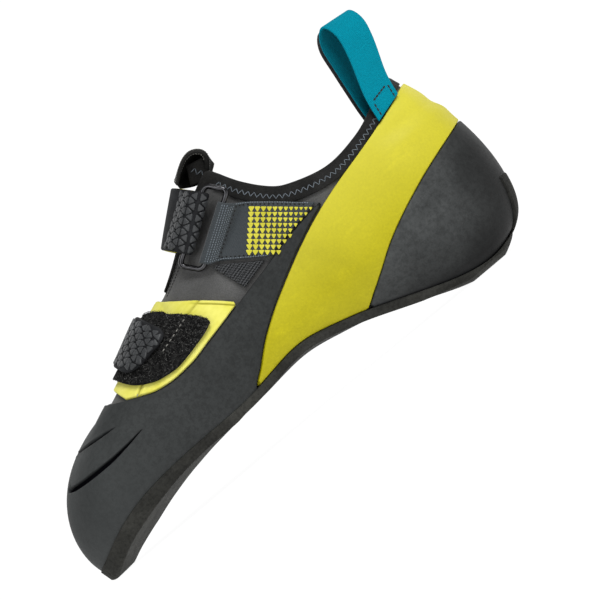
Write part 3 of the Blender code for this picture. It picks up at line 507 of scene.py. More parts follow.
def add_piece(name, finish, shell, node=None, uv=None, marks=None, repair=False):
    """Makes one piece of the shoe from points in millimetres and faces, in place of a solid if one is named.

    Marks are numbers for every point under a name, which a material can read.
    """
    points, faces = shell
    mesh = bpy.data.meshes.new(name)
    places = (np.asarray(points) - (MIDDLE_S, MIDDLE_Y, 0.0)) * MM
    mesh.from_pydata(places.tolist(), [], faces)
    for mark, values in (marks or {}).items():
        mesh.attributes.new(mark, "FLOAT", "POINT").data.foreach_set("value", np.asarray(values, float))
    if uv is not None:
        corners = np.zeros(len(mesh.loops), int)
        mesh.loops.foreach_get("vertex_index", corners)
        layer = mesh.uv_layers.new(name="Cloth")
        layer.data.foreach_set("uv", np.asarray(uv, float)[corners].reshape(-1))
    if repair:
        shape = bmesh.new()
        shape.from_mesh(mesh)
        bmesh.ops.remove_doubles(shape, verts=shape.verts, dist=0.000002)
        bmesh.ops.recalc_face_normals(shape, faces=shape.faces)
        shape.to_mesh(mesh)
        shape.free()
    mesh.shade_smooth()
    mesh.set_sharp_from_angle(angle=math.radians(55))
    mesh.materials.append(FINISHES[finish])
    piece = bpy.data.objects.new(name, mesh)
    bpy.context.scene.collection.objects.link(piece)
    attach(piece, "root")
    if node:
        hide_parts(node)
    return piece


def tube_faces(rings):
    """Points and faces of many closed tubes given as rings of points: tube, ring, side."""
    count, steps, sides = rings.shape[:3]
    pattern = ring_shell(np.zeros((steps, sides, 3)), False)[1]
    faces = []
    for i in range(count):
        start = i * steps * sides
        faces += [[start + corner for corner in face] for face in pattern]
    return rings.reshape(-1, 3), faces


# Places along a stitch, its thickness there and how far its middle rises over its radius
STITCH_STEPS = np.array([0.0, 0.1, 0.35, 0.65, 0.9, 1.0])
STITCH_ROUND = np.array([0.3, 0.8, 1.0, 1.0, 0.8, 0.3])
STITCH_ARCH = 0.3
STITCH_SIDES = 6


def threads(starts, ends, normals, radius):
    """Joined stitches from start to end points, each a round thread that rises in the middle."""
    along = ends - starts
    ahead = unit(along)
    side = unit(np.cross(ahead, normals))
    up = np.cross(side, ahead)
    rise = (np.sin(math.pi * STITCH_STEPS) * (1 + STITCH_ARCH) - 1) * radius
    centre = starts[:, None] + along[:, None] * STITCH_STEPS[:, None] + up[:, None] * rise[:, None]
    angle = np.arange(STITCH_SIDES) * 2 * math.pi / STITCH_SIDES
    swing = side[:, None] * np.cos(angle)[:, None] + up[:, None] * np.sin(angle)[:, None]
    thick = radius * STITCH_ROUND
    return tube_faces(centre[:, :, None] + swing[:, None] * thick[:, None, None])


def dashes(line, normals, pitch, share):
    """Starts, ends and normals of stitches along a line."""
    run = lengths(line)
    first = np.arange(0.2 * pitch, run[-1] - pitch * share, pitch)
    last = first + pitch * share
    return read_run(first, run, line), read_run(last, run, line), read_run(first, run, normals)


def zigzag(line, normals, pitch, height):
    """Starts, ends and normals of a zig-zag seam centred on a line."""
    run = lengths(line)
    at = np.arange(0, run[-1], pitch / 2)
    point = read_run(at, run, line)
    out = read_run(at, run, normals)
    across = unit(np.cross(out, np.gradient(point, axis=0)))
    swing = np.where(np.arange(len(at)) % 2, 0.5, -0.5)[:, None] * height
    point = point + across * swing
    return point[:-1], point[1:], (out[:-1] + out[1:]) / 2


def stitched(sheet, run, share, count, pitch, part):
    """Stitches on a sheet from one place to another, as two distances along it and two shares across it."""
    line, out = on_sheet(sheet, np.linspace(*run, count), np.linspace(*share, count))
    return dashes(line, out, pitch, part)


def sew(name, finish, seams, radius):
    """Makes several runs of stitches into one piece."""
    starts, ends, normals = (np.concatenate(part) for part in zip(*seams))
    add_piece(name, finish, threads(starts, ends, normals, radius))


def raised(flat, lift):
    """Points at a lift over the inner side that show at given side-view places, with their normals."""
    at = flat
    for _ in range(4):
        phi, t = inner_side(at[:, 0], at[:, 1])
        out = normal_at(phi, t)
        at = flat - out[:, [0, 2]] * lift
    return upper_at(phi, t) + out * lift, out


def side_line(rows, lift, count):
    """Fair line at a lift over the inner side through side-view points, with its normals."""
    return raised(read_fair(np.array(rows, float), np.linspace(0, 1, count)), lift)


# Rings of a raised triangle from its foot to its face: share of its size and of its height
BUMP_RINGS = ((0.98, -0.15), (1.0, 0.3), (0.95, 0.8), (0.86, 0.98), (0.4, 1.0))
BUMP_SIDES = 24
BLUNT = 0.8


def bumps(centres, normals, heading, sizes, height):
    """Joined low raised triangles with blunt corners, each at a centre on a surface, one corner ahead."""
    angle = np.arange(BUMP_SIDES) * 2 * math.pi / BUMP_SIDES
    third = 2 * math.pi / 3
    reach = np.minimum(0.5 / np.cos(angle % third - third / 2), BLUNT)[:, None]
    heading = square_to(normals, heading)
    side = np.cross(normals, heading)
    outline = heading[:, None] * (np.cos(angle)[:, None] * reach)
    outline = outline + side[:, None] * (np.sin(angle)[:, None] * reach)
    rings = []
    for share, lift in BUMP_RINGS:
        ring = centres[:, None] + outline * (np.asarray(sizes)[:, None, None] / 2 * share)
        rings.append(ring + normals[:, None] * height * lift)
    return tube_faces(np.stack(rings, 1))


def sole_edge(phi):
    """Upper rim of the sole, under the lower edge of the rand."""
    foot = sole_line(phi)
    rim = foot + outward(phi) * SOLE_RIM
    rim[..., 2] = foot[..., 2] + normal_at(phi, np.zeros(np.shape(phi)))[..., 2] * (SEAT + RAND) - FIT
    return rim


def sole_rows(angle):
    """One line of points across the sole's dished upper face, and the two directions out."""
    inner, outer = sole_edge(np.array([-angle, angle]))
    out = outward(np.array([-angle, angle]))
    width = np.linalg.norm(outer - inner)
    inset = min(0.3, (SOLE_RIM + WALL + 3.4) / max(width, 1.0))
    share = np.array([0, inset, 0.3, 0.5, 0.7, 1 - inset, 1])[:, None]
    top = inner + (outer - inner) * share
    dish = np.interp(inner[0], (20, 60), (TOE_DISH, DISH))
    top[1:-1, 2] -= dish * min(1.0, width / DISH_WIDTH)
    return top, out


def stand(height):
    """Underside heights with the lowest parts worn down to flat spots on the floor."""
    return np.maximum(height - FLAT_DEPTH * np.clip(1 - height / FLAT_FADE, 0, 1), 0)


class Arch:
    """Taut line over the foot in planes square to a strap's width.

    Skew is how much further from the crown a ring's bar lies for each millimetre across the strap.
    """

    def __init__(self, s, h, slope, bulge, tilt, base, tab_lift, skew):
        self.origin = np.array([s, 0.0, h])
        self.along = np.array([math.cos(slope), 0.0, math.sin(slope)])
        self.up = np.array([-math.sin(slope), 0.0, math.cos(slope)])
        self.bulge = bulge
        self.tilt = tilt
        self.base = base
        self.bar_lift = base + STRAP + 2 * FIT + WIRE
        self.tab_lift = tab_lift
        self.skew = skew

    def section(self, shift):
        """Points (y, r) of the taut line in one plane, from the inner side to the outer, evenly spaced."""
        turn = turns_between(8, 225, 260)
        cut = []
        for side in (-1, 1):
            phi = side * turn
            low = np.full(turn.shape, 0.12)
            high = np.ones(turn.shape)

            def past(t):
                return (upper_at(phi, t) - self.origin) @ self.along > shift

            crosses = ~past(low) & past(high)
            low, _ = halved(low, high, past, 26)
            point = (upper_at(phi, low) - self.origin)[crosses]
            cut.append(np.stack([point[:, 1], point @ self.up], -1))
        crown = (cut[0][cut[0][:, 1].argmax()] + cut[1][cut[1][:, 1].argmax()]) / 2
        crown[1] += self.bulge + self.tilt * shift
        cloud = np.concatenate(cut + [crown[None]])
        cloud = cloud[np.argsort(cloud[:, 0])]
        hull = []
        for point in cloud:
            while len(hull) > 1 and np.cross(hull[-1] - hull[-2], point - hull[-1]) >= 0:
                hull.pop()
            hull.append(point)
        hull = np.array(hull)
        run = lengths(hull)
        line = read_run(np.linspace(0, run[-1], 161), run, hull)
        for _ in range(12):
            line[1:-1] = (line[:-2] + 2 * line[1:-1] + line[2:]) / 4
        return line

    def offset_line(self, shift, lift):
        """The taut line moved out by a lift, with the distance of each point from the crown."""
        line = self.section(shift)
        along = np.gradient(line, axis=0)
        out = unit(np.stack([-along[:, 1], along[:, 0]], -1))
        run = lengths(line)
        return run - run[line[:, 1].argmax()], line + out * lift, out

    def at(self, shift, distance, lift):
        """Point (y, r) at a distance from the crown, and the direction out."""
        run, line, out = self.offset_line(shift, lift)
        return read_run(distance, run, line), read_run(distance, run, out)

    def place(self, shift, y, r):
        """Space point of plane coordinates."""
        return self.origin + self.along * shift + self.up * r + np.array([0.0, y, 0.0])


# Distances before a bar where a strap's two layers leave the taut line, and the straight run behind the turn
UNDER_STOP = 4.5
OVER_START = 7.0
TURN_RUN = 1.8


def half_turn(centre, out, inward, radius):
    """Plane points round a bar from below it to above it, and one a little further inward."""
    swing = np.radians(np.linspace(-90, 90, 7))[:, None]
    bend = centre + (out * np.sin(swing) - inward * np.cos(swing)) * radius
    return np.concatenate([bend, [centre + out * radius + inward * TURN_RUN]])


def strap_path(arch, shift, bar, back, front, low, high):
    """Centre line in one plane: under layer to the bar, round it, then back over to the tip.

    The bar lies at a signed distance from the crown, as do back and front, the ends of both layers.
    """
    centre, out = arch.at(0.0, bar, arch.bar_lift)
    inward = np.array([out[1], -out[0]]) * -np.sign(bar)
    centre = centre - inward * arch.skew * shift
    bar = bar + np.sign(bar) * arch.skew * shift
    run_low, line_low, _ = arch.offset_line(shift, low)
    run_high, line_high, _ = arch.offset_line(shift, high)
    under = read_run(np.linspace(back, bar - np.sign(bar) * UNDER_STOP, 10), run_low, line_low)
    over = read_run(np.linspace(bar - np.sign(bar) * OVER_START, front, 11), run_high, line_high)
    bend = half_turn(centre, out, inward, WIRE + 1.5 * FIT + STRAP / 2)
    return np.concatenate([under, bend, over])


# Finishes


class Finish:
    """One material: its node tree, with short calls for the nodes that repeat."""

    def __init__(self, name, colour, roughness, **sockets):
        self.material = bpy.data.materials.new(name)
        self.material.use_nodes = True
        self.tree = self.material.node_tree
        self.shader = self.tree.nodes["Principled BSDF"]
        self.shader.inputs["Base Color"].default_value = (*colour, 1.0)
        self.shader.inputs["Roughness"].default_value = roughness
        for key, value in sockets.items():
            self.shader.inputs[key.replace("_", " ")].default_value = value
        self.normal = None
        FINISHES[name] = self.material

    def node(self, kind, **settings):
        made = self.tree.nodes.new("ShaderNode" + kind)
        for key, value in settings.items():
            setattr(made, key, value)
        return made

    def feed(self, socket, value):
        """Sets a socket to a number or colour, or links another node's output to it."""
        if isinstance(value, bpy.types.NodeSocket):
            self.tree.links.new(value, socket)
        else:
            socket.default_value = value

    def math(self, operation, a, b=0.0, c=0.0):
        made = self.node("Math", operation=operation)
        for socket, value in zip(made.inputs, (a, b, c)):
            self.feed(socket, value)
        return made.outputs[0]

    def noise(self, grain, detail=3.0, stretch=(1, 1, 1), rough=0.55):
        """Noise with grains of about this many millimetres."""
        place = self.node("TexCoord").outputs["Object"]
        mapping = self.node("Mapping")
        self.feed(mapping.inputs["Vector"], place)
        mapping.inputs["Scale"].default_value = [1 / (MM * part) for part in stretch]
        made = self.node("TexNoise")
        self.feed(made.inputs["Vector"], mapping.outputs[0])
        made.inputs["Scale"].default_value = 0.5 / grain
        made.inputs["Detail"].default_value = detail
        made.inputs["Roughness"].default_value = rough
        return made.outputs["Fac"]

    def cells(self, grain):
        """Distance from the middles of small cells."""
        place = self.node("TexCoord").outputs["Object"]
        made = self.node("TexVoronoi")
        self.feed(made.inputs["Vector"], place)
        made.inputs["Scale"].default_value = 1 / (MM * grain)
        return made.outputs["Distance"]

    def spread(self, value, low, high, to_low=0.0, to_high=1.0):
        """A value stretched from one range to another, kept within it."""
        made = self.node("MapRange")
        for socket, part in zip(made.inputs, (value, low, high, to_low, to_high)):
            self.feed(socket, part)
        return made.outputs[0]

    def mix(self, share, first, second):
        made = self.node("Mix", data_type="RGBA")
        self.feed(made.inputs["Factor"], share)
        for socket, colour in zip((made.inputs[6], made.inputs[7]), (first, second)):
            self.feed(socket, colour if isinstance(colour, bpy.types.NodeSocket) else (*colour, 1.0))
        return made.outputs[2]

    def tint(self, tone, share, most, colour):
        """A tone with up to this much of a colour laid over it, as a share rises to 1."""
        return self.mix(self.math("MULTIPLY", share, most), tone, colour)

    def mark(self, name):
        return self.node("Attribute", attribute_name=name).outputs["Fac"]

    def axis(self, name, low, high, to_low, to_high):
        """Number that changes along one axis of the shoe between two places in millimetres."""
        split = self.node("SeparateXYZ")
        self.feed(split.inputs[0], self.node("TexCoord").outputs["Object"])
        return self.spread(split.outputs[name], low * MM, high * MM, to_low, to_high)

    def along(self):
        """The two directions of a cloth map, in millimetres."""
        split = self.node("SeparateXYZ")
        self.feed(split.inputs[0], self.node("UVMap", uv_map="Cloth").outputs[0])
        return split.outputs[0], split.outputs[1]

    def weave(self, pitch, rib=1.0):
        """Height of a plain weave over a cloth map: each thread passes over one and under one."""
        u, v = self.along()
        u = self.math("DIVIDE", u, pitch)
        v = self.math("DIVIDE", v, pitch * rib)
        parity = self.math("ADD", self.math("FLOOR", u), self.math("FLOOR", v))
        odd = self.math("PINGPONG", parity, 1.0)
        warp = self.math("ABSOLUTE", self.math("SINE", self.math("MULTIPLY", u, math.pi)))
        weft = self.math("ABSOLUTE", self.math("SINE", self.math("MULTIPLY", v, math.pi)))
        over = self.math("MULTIPLY", warp, odd)
        under = self.math("MULTIPLY", weft, self.math("SUBTRACT", 1.0, odd))
        return self.math("ADD", over, under)

    def bump(self, height, depth):
        """Adds relief of a depth in millimetres."""
        made = self.node("Bump")
        made.inputs["Strength"].default_value = 1.0
        made.inputs["Distance"].default_value = depth * MM
        self.feed(made.inputs["Height"], height)
        if self.normal:
            self.feed(made.inputs["Normal"], self.normal)
        self.normal = made.outputs[0]
        self.feed(self.shader.inputs["Normal"], self.normal)

    def paint(self, colour):
        self.feed(self.shader.inputs["Base Color"], colour)

    def gloss(self, roughness):
        self.feed(self.shader.inputs["Roughness"], roughness)


FINISHES = {}
BLACK = (0.0, 0.0, 0.0)
# Near-black painted shade for the slits and for the gaps above the sole
GROOVE_SHADE = (0.003, 0.003, 0.004)
RUBBER_SHINE = 0.2


def rubber(name, dark, light, roughness, floor_shade, grain=0.35, mottled=0.3, toe_light=0.0, back=0.0, crown=None):
    """Moulded rubber: cloudy tone, fine grain, dull scuffs, painted shade near the floor and grooves painted
    dark as shade.

    It can be painted lighter towards the toe as light, darker behind the heel (back) as shade, and given a
    lighter tone high up (crown) as painted light.
    """
    finish = Finish(name, dark, roughness, Specular_IOR_Level=RUBBER_SHINE)
    cloud = finish.spread(finish.noise(16.0, 4.0), 0.35, 0.68)
    speck = finish.noise(grain, 4.0, rough=0.7)
    scuff = finish.spread(finish.noise(3.5, 5.0, (3.0, 1.0, 1.0), 0.72), 0.56, 0.74)
    mottle = finish.spread(finish.noise(1.1, 4.0, rough=0.7), 0.42, 0.62)
    tone = finish.mix(cloud, dark, light)
    tone = finish.tint(tone, scuff, 0.22, [min(1.0, part * 1.5 + 0.01) for part in light])
    tone = finish.tint(tone, finish.spread(speck, 0.3, 0.7), 0.16, BLACK)
    tone = finish.tint(tone, mottle, mottled, BLACK)
    # Painted shade: darker towards the floor.
    tone = finish.mix(finish.axis("Z", 8, 42, floor_shade, 0.0), tone, BLACK)
    # Painted shade: darker behind the heel.
    if back:
        tone = finish.mix(finish.axis("X", 84, 118, 0.0, back), tone, BLACK)
    # Painted light: a lighter tone high up, where light falls.
    if crown:
        tone = finish.mix(finish.axis("Z", 38, 88, 0.0, 0.6), tone, crown)
    # Painted light: lighter towards the toe.
    if toe_light:
        tone = finish.mix(finish.axis("X", -104, -50, toe_light, 0.0), tone, [part * 2.0 for part in light])
    # Painted shade in slits and gaps, with no shine there.
    cut = finish.mark("groove_shade")
    finish.paint(finish.mix(cut, tone, GROOVE_SHADE))
    finish.feed(finish.shader.inputs["Specular IOR Level"], finish.spread(cut, 0, 1, RUBBER_SHINE, 0.0))
    dull = finish.math("ADD", speck, scuff)
    finish.gloss(finish.spread(dull, 0.3, 1.4, roughness - 0.08, roughness + 0.14))
    finish.bump(finish.noise(9.0, 3.0), 0.22)
    finish.bump(speck, 0.05)


def sanded_rubber(name, dark, light):
    """Sole rubber with a ground edge: fine streaks along the shoe and crumbs."""
    finish = Finish(name, dark, 0.8, Specular_IOR_Level=0.14)
    streak = finish.noise(0.55, 4.0, (9.0, 1.0, 1.0), 0.7)
    crumb = finish.noise(0.75, 5.0, rough=0.75)
    cloud = finish.spread(finish.noise(11.0, 4.0), 0.34, 0.7)
    tone = finish.mix(cloud, dark, light)
    tone = finish.tint(tone, finish.spread(streak, 0.4, 0.7), 0.35, light)
    finish.paint(finish.tint(tone, finish.spread(crumb, 0.44, 0.62), 0.34, BLACK))
    finish.gloss(finish.spread(crumb, 0.3, 0.7, 0.72, 0.92))
    finish.bump(streak, 0.10)
    finish.bump(crumb, 0.10)


def suede(name, dark, light, sheen, seam=None):
    """Microsuede: short nap brushed in patches, with a soft sheen, and sunk seams of another tone."""
    finish = Finish(name, light, 0.92, Specular_IOR_Level=0.1, Sheen_Weight=sheen, Sheen_Roughness=0.45)
    nap = finish.noise(0.22, 4.0, rough=0.75)
    brush = finish.spread(finish.noise(5.0, 4.0, (1.6, 1.0, 1.0), 0.65), 0.36, 0.66)
    tone = finish.mix(brush, dark, light)
    tone = finish.tint(tone, finish.spread(nap, 0.5, 0.75), 0.22, dark)
    if seam:
        tone = finish.mix(finish.mark("seam"), tone, seam)
    finish.paint(tone)
    finish.bump(nap, 0.07)
    finish.bump(finish.noise(2.2, 3.0), 0.10)


def microfibre(name, dark, light):
    """Close-knit upper cloth: small interlocked stitches under a soft cloudy tone."""
    finish = Finish(name, dark, 0.85, Specular_IOR_Level=0.15, Sheen_Weight=0.15, Sheen_Roughness=0.5)
    knit = finish.cells(0.55)
    fibre = finish.noise(0.3, 4.0, rough=0.7)
    cloud = finish.spread(finish.noise(8.0, 4.0), 0.36, 0.66)
    tone = finish.mix(cloud, dark, light)
    finish.paint(finish.tint(tone, finish.spread(knit, 0.25, 0.7), 0.35, [part * 0.45 for part in dark]))
    finish.gloss(finish.spread(fibre, 0.3, 0.7, 0.75, 0.95))
    finish.bump(finish.math("SUBTRACT", 1.0, knit), 0.12)
    finish.bump(fibre, 0.06)


def webbing(name, dark, light, pitch, depth=0.16, rib=1.0, sheen=0.2, shine=0.18):
    """Woven tape over a cloth map, with painted shade on the side marked as its inside."""
    finish = Finish(name, dark, 0.78, Specular_IOR_Level=shine, Sheen_Weight=sheen, Sheen_Roughness=0.4)
    thread = finish.weave(pitch, rib)
    fibre = finish.noise(0.16, 3.0, rough=0.7)
    cloud = finish.spread(finish.noise(6.0, 3.0), 0.36, 0.66)
    tone = finish.mix(finish.spread(thread, 0.15, 0.85), dark, light)
    tone = finish.tint(tone, cloud, 0.2, light)
    tone = finish.tint(tone, finish.spread(fibre, 0.5, 0.8), 0.25, dark)
    # Painted shade on the inner side of a loop.
    finish.paint(finish.tint(tone, finish.mark("inside"), 0.45, BLACK))
    finish.gloss(finish.spread(thread, 0.0, 1.0, 0.9, 0.68))
    finish.bump(thread, depth)
    finish.bump(fibre, 0.03)


def cloth(name, dark, light, grain=0.45, sheen=0.2):
    """Dense fabric without a clear weave: fine threads and a soft nap."""
    finish = Finish(name, dark, 0.82, Specular_IOR_Level=0.18, Sheen_Weight=sheen, Sheen_Roughness=0.45)
    knit = finish.cells(grain)
    cloud = finish.spread(finish.noise(5.0, 4.0), 0.36, 0.66)
    tone = finish.mix(cloud, dark, light)
    finish.paint(finish.tint(tone, finish.spread(knit, 0.2, 0.7), 0.4, [part * 0.4 for part in dark]))
    finish.gloss(finish.spread(knit, 0.0, 0.8, 0.7, 0.92))
    finish.bump(finish.math("SUBTRACT", 1.0, knit), 0.10)


def moulded(name, dark, light, shine=0.4, rough=0.43):
    """Moulded strap face: satin, with a fine leathery grain."""
    finish = Finish(name, dark, rough, Specular_IOR_Level=shine)
    grain = finish.cells(0.5)
    speck = finish.noise(0.2, 3.0, rough=0.7)
    finish.paint(finish.mix(finish.spread(finish.noise(4.0, 4.0), 0.36, 0.66), dark, light))
    finish.gloss(finish.spread(speck, 0.3, 0.7, rough - 0.09, rough + 0.09))
    finish.bump(finish.math("SUBTRACT", 1.0, grain), 0.06)
    finish.bump(speck, 0.03)


def thread(name, dark, light):
    """Sewing thread: twisted strands seen as fine streaks."""
    finish = Finish(name, light, 0.6, Specular_IOR_Level=0.22, Sheen_Weight=0.2)
    strand = finish.noise(0.12, 2.0, rough=0.6)
    finish.paint(finish.mix(finish.spread(strand, 0.35, 0.65), dark, light))
    finish.bump(strand, 0.04)


def pile(name, dark, light):
    """Loop pile: dark tangled fibres, each with its own tone; the few light ones are painted glints."""
    finish = Finish(name, dark, 0.8, Specular_IOR_Level=0.08, Sheen_Weight=0.06, Sheen_Roughness=0.4)
    finish.paint(finish.mix(finish.mark("tone"), dark, light))
    finish.bump(finish.noise(0.3, 3.0, rough=0.7), 0.12)


def wire(name, colour):
    """Dark polished wire with a few dull spots."""
    finish = Finish(name, colour, 0.24, Metallic=1.0)
    wear = finish.spread(finish.noise(2.0, 4.0), 0.4, 0.7)
    finish.paint(finish.mix(wear, colour, [part * 1.6 for part in colour]))
    finish.gloss(finish.spread(wear, 0.0, 1.0, 0.08, 0.16))


def make_finishes():
    # Rand, cup and band rubbers get painted shade towards the floor. The cup is painted darker behind the
    # heel, the band lighter high up and the rand lighter at the toe, as light and shade.
    rubber("rand_grey", (0.0275, 0.030, 0.030), (0.043, 0.0465, 0.0465), 0.68, 0.1, toe_light=0.3)
    rubber("cup_grey", (0.056, 0.060, 0.060), (0.132, 0.140, 0.140), 0.62, 0.9, back=0.75)
    yellow = (0.51, 0.455, 0.005), (0.57, 0.51, 0.010)
    rubber("band_yellow", *yellow, 0.55, 0.16, grain=0.5, mottled=0.03, crown=(0.80, 0.74, 0.09))
    sanded_rubber("sole_sanded", (0.0155, 0.0155, 0.0137), (0.045, 0.045, 0.040))
    suede("panel_yellow", (0.74, 0.70, 0.09), (0.88, 0.84, 0.20), 0.15, (0.30, 0.26, 0.015))
    microfibre("upper_grey", (0.084, 0.084, 0.083), (0.124, 0.124, 0.123))
    cloth("lining_grey", (0.16, 0.15, 0.14), (0.24, 0.23, 0.21))
    cloth("insole_grey", (0.17, 0.16, 0.15), (0.26, 0.25, 0.23), 0.7)
    cloth("binding_black", (0.010, 0.010, 0.0095), (0.022, 0.0215, 0.0205), 0.5, 0.04)
    cloth("tongue_black", (0.010, 0.010, 0.0095), (0.023, 0.0225, 0.021), 0.6, 0.04)
    webbing("anchor_black", (0.001, 0.001, 0.001), (0.085, 0.088, 0.092), 1.2, 0.2, 1.0, 0.0, 0.08)
    webbing("tab_grey", (0.026, 0.031, 0.034), (0.060, 0.070, 0.077), 0.62, 0.12)
    webbing("loop_turquoise", (0.0, 0.15, 0.215), (0.0, 0.29, 0.40), 0.6, 0.1, 1.1, 0.0, 0.05)
    webbing("loop_black", (0.006, 0.006, 0.007), (0.020, 0.020, 0.022), 0.95, 0.2, 1.15)
    moulded("strap_black", (0.012, 0.0125, 0.0135), (0.020, 0.021, 0.023), 0.12, 0.7)
    moulded("relief_black", (0.031, 0.033, 0.035), (0.052, 0.055, 0.058))
    suede("lining_yellow", (0.55, 0.50, 0.02), (0.66, 0.61, 0.05), 0.1)
    moulded("print_yellow", (0.55, 0.51, 0.02), (0.68, 0.63, 0.05))
    thread("thread_black", (0.002, 0.002, 0.002), (0.010, 0.010, 0.010))
    thread("thread_pale", (0.16, 0.155, 0.14), (0.36, 0.35, 0.32))
    thread("thread_blue", (0.10, 0.12, 0.14), (0.24, 0.28, 0.32))
    pile("pile_black", (0.002, 0.002, 0.0022), (0.26, 0.26, 0.25))
    wire("ring_dark", (0.05, 0.05, 0.053))


# Pieces cut from the surface of the upper


def add_skin(name, finish, node, patches, edges, base, top, radius, relief=None, marks=None):
    """Overlay over grids of surface parameters between two lifts, rounded off at its free edges.

    Relief is a change of the outer lift for every grid point, worked out from points and edge distances.
    """
    grids = [(upper_at(phi, t), normal_at(phi, t)) for phi, t in patches]
    points = np.concatenate([grid.reshape(-1, 3) for grid, _ in grids])
    far = distance_to(points, edges(grids))
    lift = base + (top - base) * np.maximum(rounded(far, radius), 0.05)
    if relief is not None:
        lift = np.maximum(lift + relief(points, far, grids), base + 0.05)
    sheet = weld(grids)
    kept = sheet[3]
    numbers = {}
    for mark, values in (marks or {}).items():
        flat = values(points, far, grids).reshape(-1)[kept]
        numbers[mark] = np.concatenate([flat, flat * 0])
    return add_piece(name, finish, thicken(sheet, base, lift), node, marks=numbers)


def add_upper():
    """Cloth upper with its lining on the inside."""
    phi = np.linspace(-math.pi, math.pi, 241)
    t = np.linspace(0, 1, 52)
    patch = np.broadcast_arrays(phi[:, None], t[None, :])
    sheet = weld([(upper_at(*patch), normal_at(*patch))])
    piece = add_piece("upper_cloth", "upper_grey", thicken(sheet, -WALL, 0.0), "upper")
    piece.data.materials.append(FINISHES["lining_grey"])
    count = len(sheet[0])
    for face in piece.data.polygons:
        if min(face.vertices) >= count:
            face.material_index = 1


# Side-view lines of the two slits in the toe rand, with half their width
SLIT_LOW = table("s h half", [
    (14.4, 41.3, 0.05), (16, 41.2, 1), (20, 40.7, 1.25), (26, 40.5, 1.15), (37, 40.6, 0.9),
    (47, 41.4, 0.5), (56.5, 42.7, 0.05),
])
SLIT_HIGH = table("s h half", [
    (25, 51, 0.1), (28, 51.1, 0.7), (34, 51, 0.85), (42, 50.6, 0.6), (48, 50.1, 0.05),
])
SLIT_DEPTH = 1.4
SLIT_LIP = 0.16


def slit_rows(phi, low, high):
    """Parameter t of both slits' lines in each column, kept in order between the rand's edges."""
    found = []
    for slit, least, most in ((SLIT_LOW, 0.3, 0.56), (SLIT_HIGH, 0.5, 0.82)):
        t = crossing(phi, steady(slit["s"], slit["h"]))
        padded = np.concatenate([np.full(4, t[0]), t, np.full(4, t[-1])])
        t = np.convolve(padded, np.ones(9) / 9, "valid")
        found.append(np.clip(t, low + (high - low) * least, low + (high - low) * most))
    found[0] = np.minimum(found[0], found[1] - 0.1 * (high - low))
    return found


# Station where the rand ends, station up to which it reaches the ridge, and rows across half a slit
RAND_END = 184
RAND_RIDGE = 22
SLIT_ROWS = np.array([0.13, 0.26, 0.38, 0.48, 0.56, 0.72])


def slit_lines():
    """Points along both slits on the upper, with half the slit's width at each."""
    found = []
    for slit in (SLIT_LOW, SLIT_HIGH):
        side = -np.linspace(0.0, float(turn_of(slit["s"][-1])), 500)
        row = crossing(side, steady(slit["s"], slit["h"]))
        line = upper_at(side, row)
        keep = (row < 0.985) & (line[:, 0] >= slit["s"][0]) & (line[:, 0] <= slit["s"][-1])
        found.append((line[keep], np.interp(line[keep, 0], slit["s"], slit["half"])))
    return found


def slit_cut(points):
    """Depth of the slits and height of their lips at the rand's points, as shares."""
    depth = np.zeros(len(points))
    lip = np.zeros(len(points))
    near = np.nonzero((points[:, 0] < 66) & (points[:, 2] > 34))[0]
    for line, half in slit_lines():
        tree = search_tree(line)
        for i in near:
            _, which, away = tree.find(points[i])
            wide = half[which]
            depth[i] = max(depth[i], np.clip((wide + 0.18 - away) / 0.36, 0, 1))
            lip[i] = max(lip[i], bell(away - wide - 0.6, 0.4) * min(1.0, wide / 0.6))
    return depth, lip


def add_toe_rand():
    """Rubber cap over the toe, running back along both sides, with two tapered slits on its inner side."""
    end = float(turn_of(RAND_END))
    ridge_end = turn_of(RAND_RIDGE)
    phi = np.linspace(-end, end, 351)
    low = np.where(np.abs(phi) < turn_of(BAND_TIP) + 0.001, 0, crossing(phi, edge_curve(BAND_TOP), 3 * FIT))
    high = np.where(np.abs(phi) <= ridge_end, 1, crossing(phi, edge_curve(RAND_TOP), -FIT))
    first, second = slit_rows(phi, low, high)
    reach = np.linalg.norm(upper_at(phi, first + 0.02) - upper_at(phi, first - 0.02), axis=-1) / 0.04
    window = np.minimum(2.0 / reach, 0.04 * (high - low))
    fine = window[:, None] * np.concatenate([-SLIT_ROWS[::-1], [0], SLIT_ROWS])
    quarter = np.linspace(0, math.pi / 2, 22)
    below = between(phi, low, first - window, 1 - np.cos(quarter))[1]
    middle = between(phi, first + window, second - window, np.linspace(0, 1, 9))[1]
    above = between(phi, second + window, high, np.sin(np.linspace(0, math.pi / 2, 16)))[1]
    t = np.concatenate([below, first[:, None] + fine, middle, second[:, None] + fine, above], axis=1)
    patch = (np.broadcast_to(phi[:, None], t.shape), t)

    def edges(grids):
        grid = grids[0][0]
        beside = np.abs(phi) > turn_of(BAND_TIP)
        low_edges = [grid[beside & (phi * side > 0), 0] for side in (-1, 1)]
        return low_edges + [grid[phi < -ridge_end, -1], grid[phi > ridge_end, -1], grid[0], grid[-1]]

    cuts = {}

    def relief(points, far, grids):
        cuts["depth"], lip = slit_cut(points)
        return SLIT_LIP * lip - SLIT_DEPTH * cuts["depth"]

    # The slits are painted dark, as shade inside them.
    add_skin(
        "toe_rand_rubber", "rand_grey", "toe_rand", [patch], edges,
        SEAT + 0.05, SEAT + RAND, 0.6, relief, {"groove_shade": lambda points, far, grids: cuts["depth"]},
    )


def round_heel(turn):
    """Columns from the inner side round the heel to the outer side, at the same angles on both."""
    return np.concatenate([-turn, -2 * math.pi + turn[-2::-1]])


def all_borders(grids):
    return [line for grid, _ in grids for line in (grid[:, 0], grid[:, -1], grid[0], grid[-1])]


def free_borders(grids):
    """Borders of a single grid but for its lowest row."""
    grid = grids[0][0]
    return [grid[:, -1], grid[0], grid[-1]]


